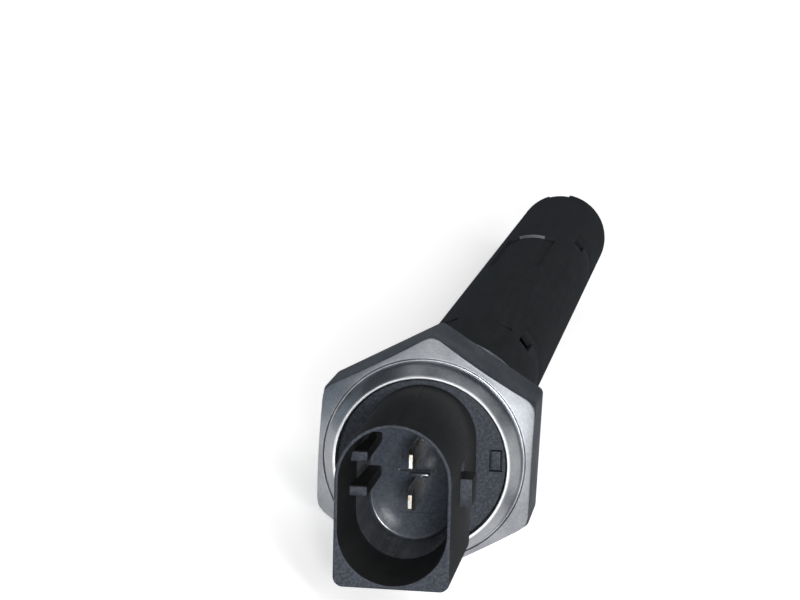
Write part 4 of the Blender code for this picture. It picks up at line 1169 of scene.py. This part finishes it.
plug_plastic = moulded_black("plug_nylon", grain=0.5, gloss=0.36, tone=0.012, slate=0.04)
cup = turned(
    eased(
        [
            (DRAIN_RADIUS, PLUG_FACE, 0.25),
            (PLUG_RADIUS, PLUG_FACE, 0.35),
            (PLUG_RADIUS, PLUG_START, 0.5),
            (PLUG_RADIUS - PLUG_WALL, PLUG_START, 0.3),
            (PLUG_RADIUS - PLUG_WALL, PLUG_FACE - PLUG_BASE, 0.5),
            (DRAIN_RADIUS, PLUG_FACE - PLUG_BASE, 0.2),
        ]
    ),
    120,
)
latch_half = LATCH_HALF_TURN - LATCH_TURN_PLAY
latch_radii = (PLUG_RADIUS - 0.6, LATCH_RADIUS)
latch_span = (LATCH_SPAN[0] + LATCH_PLAY, LATCH_SPAN[1] - LATCH_PLAY)
latches = [
    ("UNION", curved_block((side - latch_half, side + latch_half), latch_radii, latch_span, 0.3))
    for side in (-90.0, 90.0)
]
fit("tube_end_plug", combine(cup, latches, [plug_plastic]), [plug_plastic], "end_plug")

# Seals. Moulded black rubber rings: one is squeezed under the flange, the other sits in the groove of
# the tube's spigot. Both are lightly oiled and carry a faint bloom.
rubber = Finish("oiled_rubber")
film = rubber.noise(1.2, 3.0)
bloom = rubber.noise(5.0, 2.0)
rubber.feed(
    colour=rubber.mix(bloom.ramp(0.5, 0.75), (0.012, 0.012, 0.013), (0.035, 0.035, 0.037)),
    roughness=film * 0.35 + 0.28,
)
rubber.relief(bloom, 0.02, 0.6)


def dress(finish, *nodes):
    """Give a finish to solids of the frame that keep their own shape."""
    for node in nodes:
        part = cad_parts[node]
        part.data.materials.clear()
        part.data.materials.append(finish.material)


dress(rubber, "flange_oring", "spigot_oring")

# Potting. Black two-part epoxy, poured round the tails of the blades, which keeps the oil out of the
# socket. It sets glossy, with a few small bubbles and clouds on its surface.
resin = Finish("black_epoxy")
bubbles = resin.node("ShaderNodeTexVoronoi", {}, {"Vector": resin.place, "Scale": 0.9 / MM}, "Distance")
cloud = resin.noise(0.8, 3.0)
resin.feed(
    colour=resin.mix(cloud, (0.010, 0.010, 0.011), (0.035, 0.034, 0.033)),
    roughness=cloud * 0.2 + 0.12,
)
resin.relief(bubbles.ramp(0.10, 0.2) + cloud * 0.5, 0.05, 0.6)
dress(resin, "terminal_potting")

# Leads. Tinned copper wires, soldered to the blades' tails, run through the resin to the crimps, each
# in a red glass-silk sleeve that keeps it off the carrier's web.
lead = Finish("tinned_copper", Metallic=1.0)
lead_streak = lead.noise(2.5, 2.0, stretch=(1.0, 0.06, 1.0))
lead.feed(
    colour=lead.mix(lead_streak.ramp(0.45, 0.7), (0.72, 0.70, 0.67), (0.66, 0.43, 0.28)),
    roughness=lead_streak * 0.3 + 0.2,
)
lead.relief(lead_streak, 0.01, 0.5)
dress(lead, "lead_upper", "lead_lower")

sleeve = Finish("glass_silk_sleeve")
along_strands = sleeve.along * (5.2 / MM)
across_strands = sleeve.across * (4.1 / MM)
strand = along_strands + across_strands
counter = along_strands - across_strands
braid = strand.maths("SINE", strand) * counter.maths("SINE", counter) * 0.5 + 0.5
fade = sleeve.noise(0.6, 3.0)
sleeve.feed(
    colour=sleeve.mix(braid * 0.6 + fade * 0.4, (0.23, 0.018, 0.014), (0.50, 0.07, 0.05)),
    roughness=fade * 0.2 + 0.5,
)
sleeve.relief(braid, 0.05, 0.8)
dress(sleeve, "lead_sleeve_upper", "lead_sleeve_lower")

# Wire carrier. A dark grey nylon spine of H section that slides into the tube. Two tongues on short
# stems fill most of the tube's windows and snap in there, which holds the spine in its place.
CARRIER_FRAME = SENSOR_FRAME @ Matrix.Rotation(math.radians(52.5), 4, "Z")
CARRIER_SPAN = (1.0, 178.0)
CARRIER_NECK = (4.0, 22.0)
CARRIER_HALF = 6.2
WEB_HALF = 0.7
NECK_SHY = 0.05
RAIL_THICKNESS = 1.2
RAIL_HALF_HEIGHT = 2.5
RAIL_SETBACK = 0.5
TONGUE_TURNS = (-22.5, 21.5)
TONGUE_RADII = (7.35, 8.85)
TONGUE_SLIT = 0.8
STEM_HALF = (1.2, 2.0)
STEM_REACH = 8.1
PIN_PLACE = 173.5
PIN_HOLE_RADIUS = 1.0

carrier_plastic = moulded_black("carrier_nylon", grain=0.5, gloss=0.30, tone=0.014, slate=0.04)
neck_half, neck_end = CARRIER_NECK
neck_low = (-neck_half, NECK_SHY - WEB_HALF, CARRIER_SPAN[0])
neck_high = (neck_half, WEB_HALF - NECK_SHY, neck_end + 1.0)
carrier_tools = [("UNION", eased_block(neck_low, neck_high, 0.2))]
for side in (1.0, -1.0):
    inner, outer = sorted((side * (CARRIER_HALF - RAIL_THICKNESS), side * CARRIER_HALF))
    rail = eased_block(
        (inner, -RAIL_HALF_HEIGHT, neck_end + RAIL_SETBACK),
        (outer, RAIL_HALF_HEIGHT, CARRIER_SPAN[1] - RAIL_SETBACK),
        0.25,
    )
    carrier_tools.append(("UNION", rail))
for low, high in WINDOW_SPANS:
    middle = (low + high) / 2
    stem_low = (-STEM_HALF[0], -STEM_REACH, middle - STEM_HALF[1])
    stem = eased_block(stem_low, (STEM_HALF[0], 0.0, middle + STEM_HALF[1]), 0.2)
    tongue = curved_block(TONGUE_TURNS, TONGUE_RADII, (low + TONGUE_SLIT, high - TONGUE_SLIT), 0.25, 16)
    carrier_tools += [("UNION", stem), ("UNION", tongue)]
pin_hole = turned([(0.02, -1.5), (PIN_HOLE_RADIUS, -1.5), (PIN_HOLE_RADIUS, 1.5), (0.02, 1.5)], 32)
pin_frame = Matrix.Translation((0.0, 0.0, PIN_PLACE * MM)) @ Matrix.Rotation(math.pi / 2, 4, "X")
pin_hole.transform(pin_frame)
carrier_tools.append(("DIFFERENCE", pin_hole))
web_edge = CARRIER_HALF - RAIL_THICKNESS / 2
web = eased_block((-web_edge, -WEB_HALF, neck_end), (web_edge, WEB_HALF, CARRIER_SPAN[1]), 0.2)
fit(
    "wire_spine",
    combine(web, carrier_tools, [carrier_plastic]),
    [carrier_plastic],
    "wire_carrier",
    shift=CARRIER_FRAME,
)

# Sensing wire. A fine nickel-iron resistance wire, crimped to the leads in tinned brass ferrules, goes
# along the spine, round a small pulley and back; a spring on a steel pin keeps it tight.
SPRING_RUN = (166.12, 172.28)
SPRING_TURNS = 6.0
SPRING_RADIUS = 0.9
SPRING_WIRE_RADIUS = 0.22
TRACK_HEIGHT = 2.12

nickel = Finish("resistance_wire", Metallic=1.0)
heat = nickel.noise(0.25, 3.0)
drawn_lines = nickel.noise(6.0, 2.0, stretch=(1.0, 0.03, 1.0))
nickel.feed(
    colour=nickel.mix(heat.ramp(0.4, 0.7), (0.58, 0.56, 0.52), (0.36, 0.31, 0.27)),
    roughness=heat * 0.2 + drawn_lines * 0.15 + 0.12,
)
nickel.relief(drawn_lines, 0.01, 0.5)
dress(nickel, "sensing_wire")
dress(tin, "crimp_ferrule_upper", "crimp_ferrule_lower")
dress(carrier_plastic, "wire_hook")

spring_steel = Finish("spring_steel", Metallic=1.0)
die_marks = spring_steel.noise(5.0, 2.0)
spring_steel.feed(
    colour=spring_steel.mix(die_marks.ramp(0.4, 0.7), (0.42, 0.43, 0.45), (0.66, 0.67, 0.68)),
    roughness=die_marks * 0.25 + 0.15,
)
spring_steel.relief(die_marks, 0.01, 0.5)
dress(spring_steel, "spring_pin")

coil_tree, coil_size = start_recipe("tension_coil", ("Radius", "Wire radius", "Turns", "Length"))
coil_path = add_node(
    coil_tree,
    "GeometryNodeCurveSpiral",
    {},
    {
        "Resolution": 24,
        "Rotations": coil_size["Turns"],
        "Start Radius": coil_size["Radius"],
        "End Radius": coil_size["Radius"],
        "Height": coil_size["Length"],
    },
)
coil_section = add_node(
    coil_tree,
    "GeometryNodeCurvePrimitiveCircle",
    {},
    {"Resolution": 10, "Radius": coil_size["Wire radius"]},
)
coil = add_node(
    coil_tree,
    "GeometryNodeCurveToMesh",
    {},
    {"Curve": coil_path, "Profile Curve": coil_section, "Fill Caps": True},
)
end_recipe(coil_tree, coil, spring_steel)
coil_sizes = {
    "Radius": SPRING_RADIUS * MM,
    "Wire radius": SPRING_WIRE_RADIUS * MM,
    "Turns": SPRING_TURNS,
    "Length": (SPRING_RUN[1] - SPRING_RUN[0]) * MM,
}
fit(
    "coil_spring",
    plain_mesh(bpy.data.meshes.new("coil"), partial(follow_recipe, coil_tree, coil_sizes)),
    [spring_steel],
    "tension_spring",
    shift=CARRIER_FRAME @ Matrix.Translation((0.0, TRACK_HEIGHT * MM, SPRING_RUN[0] * MM)),
)
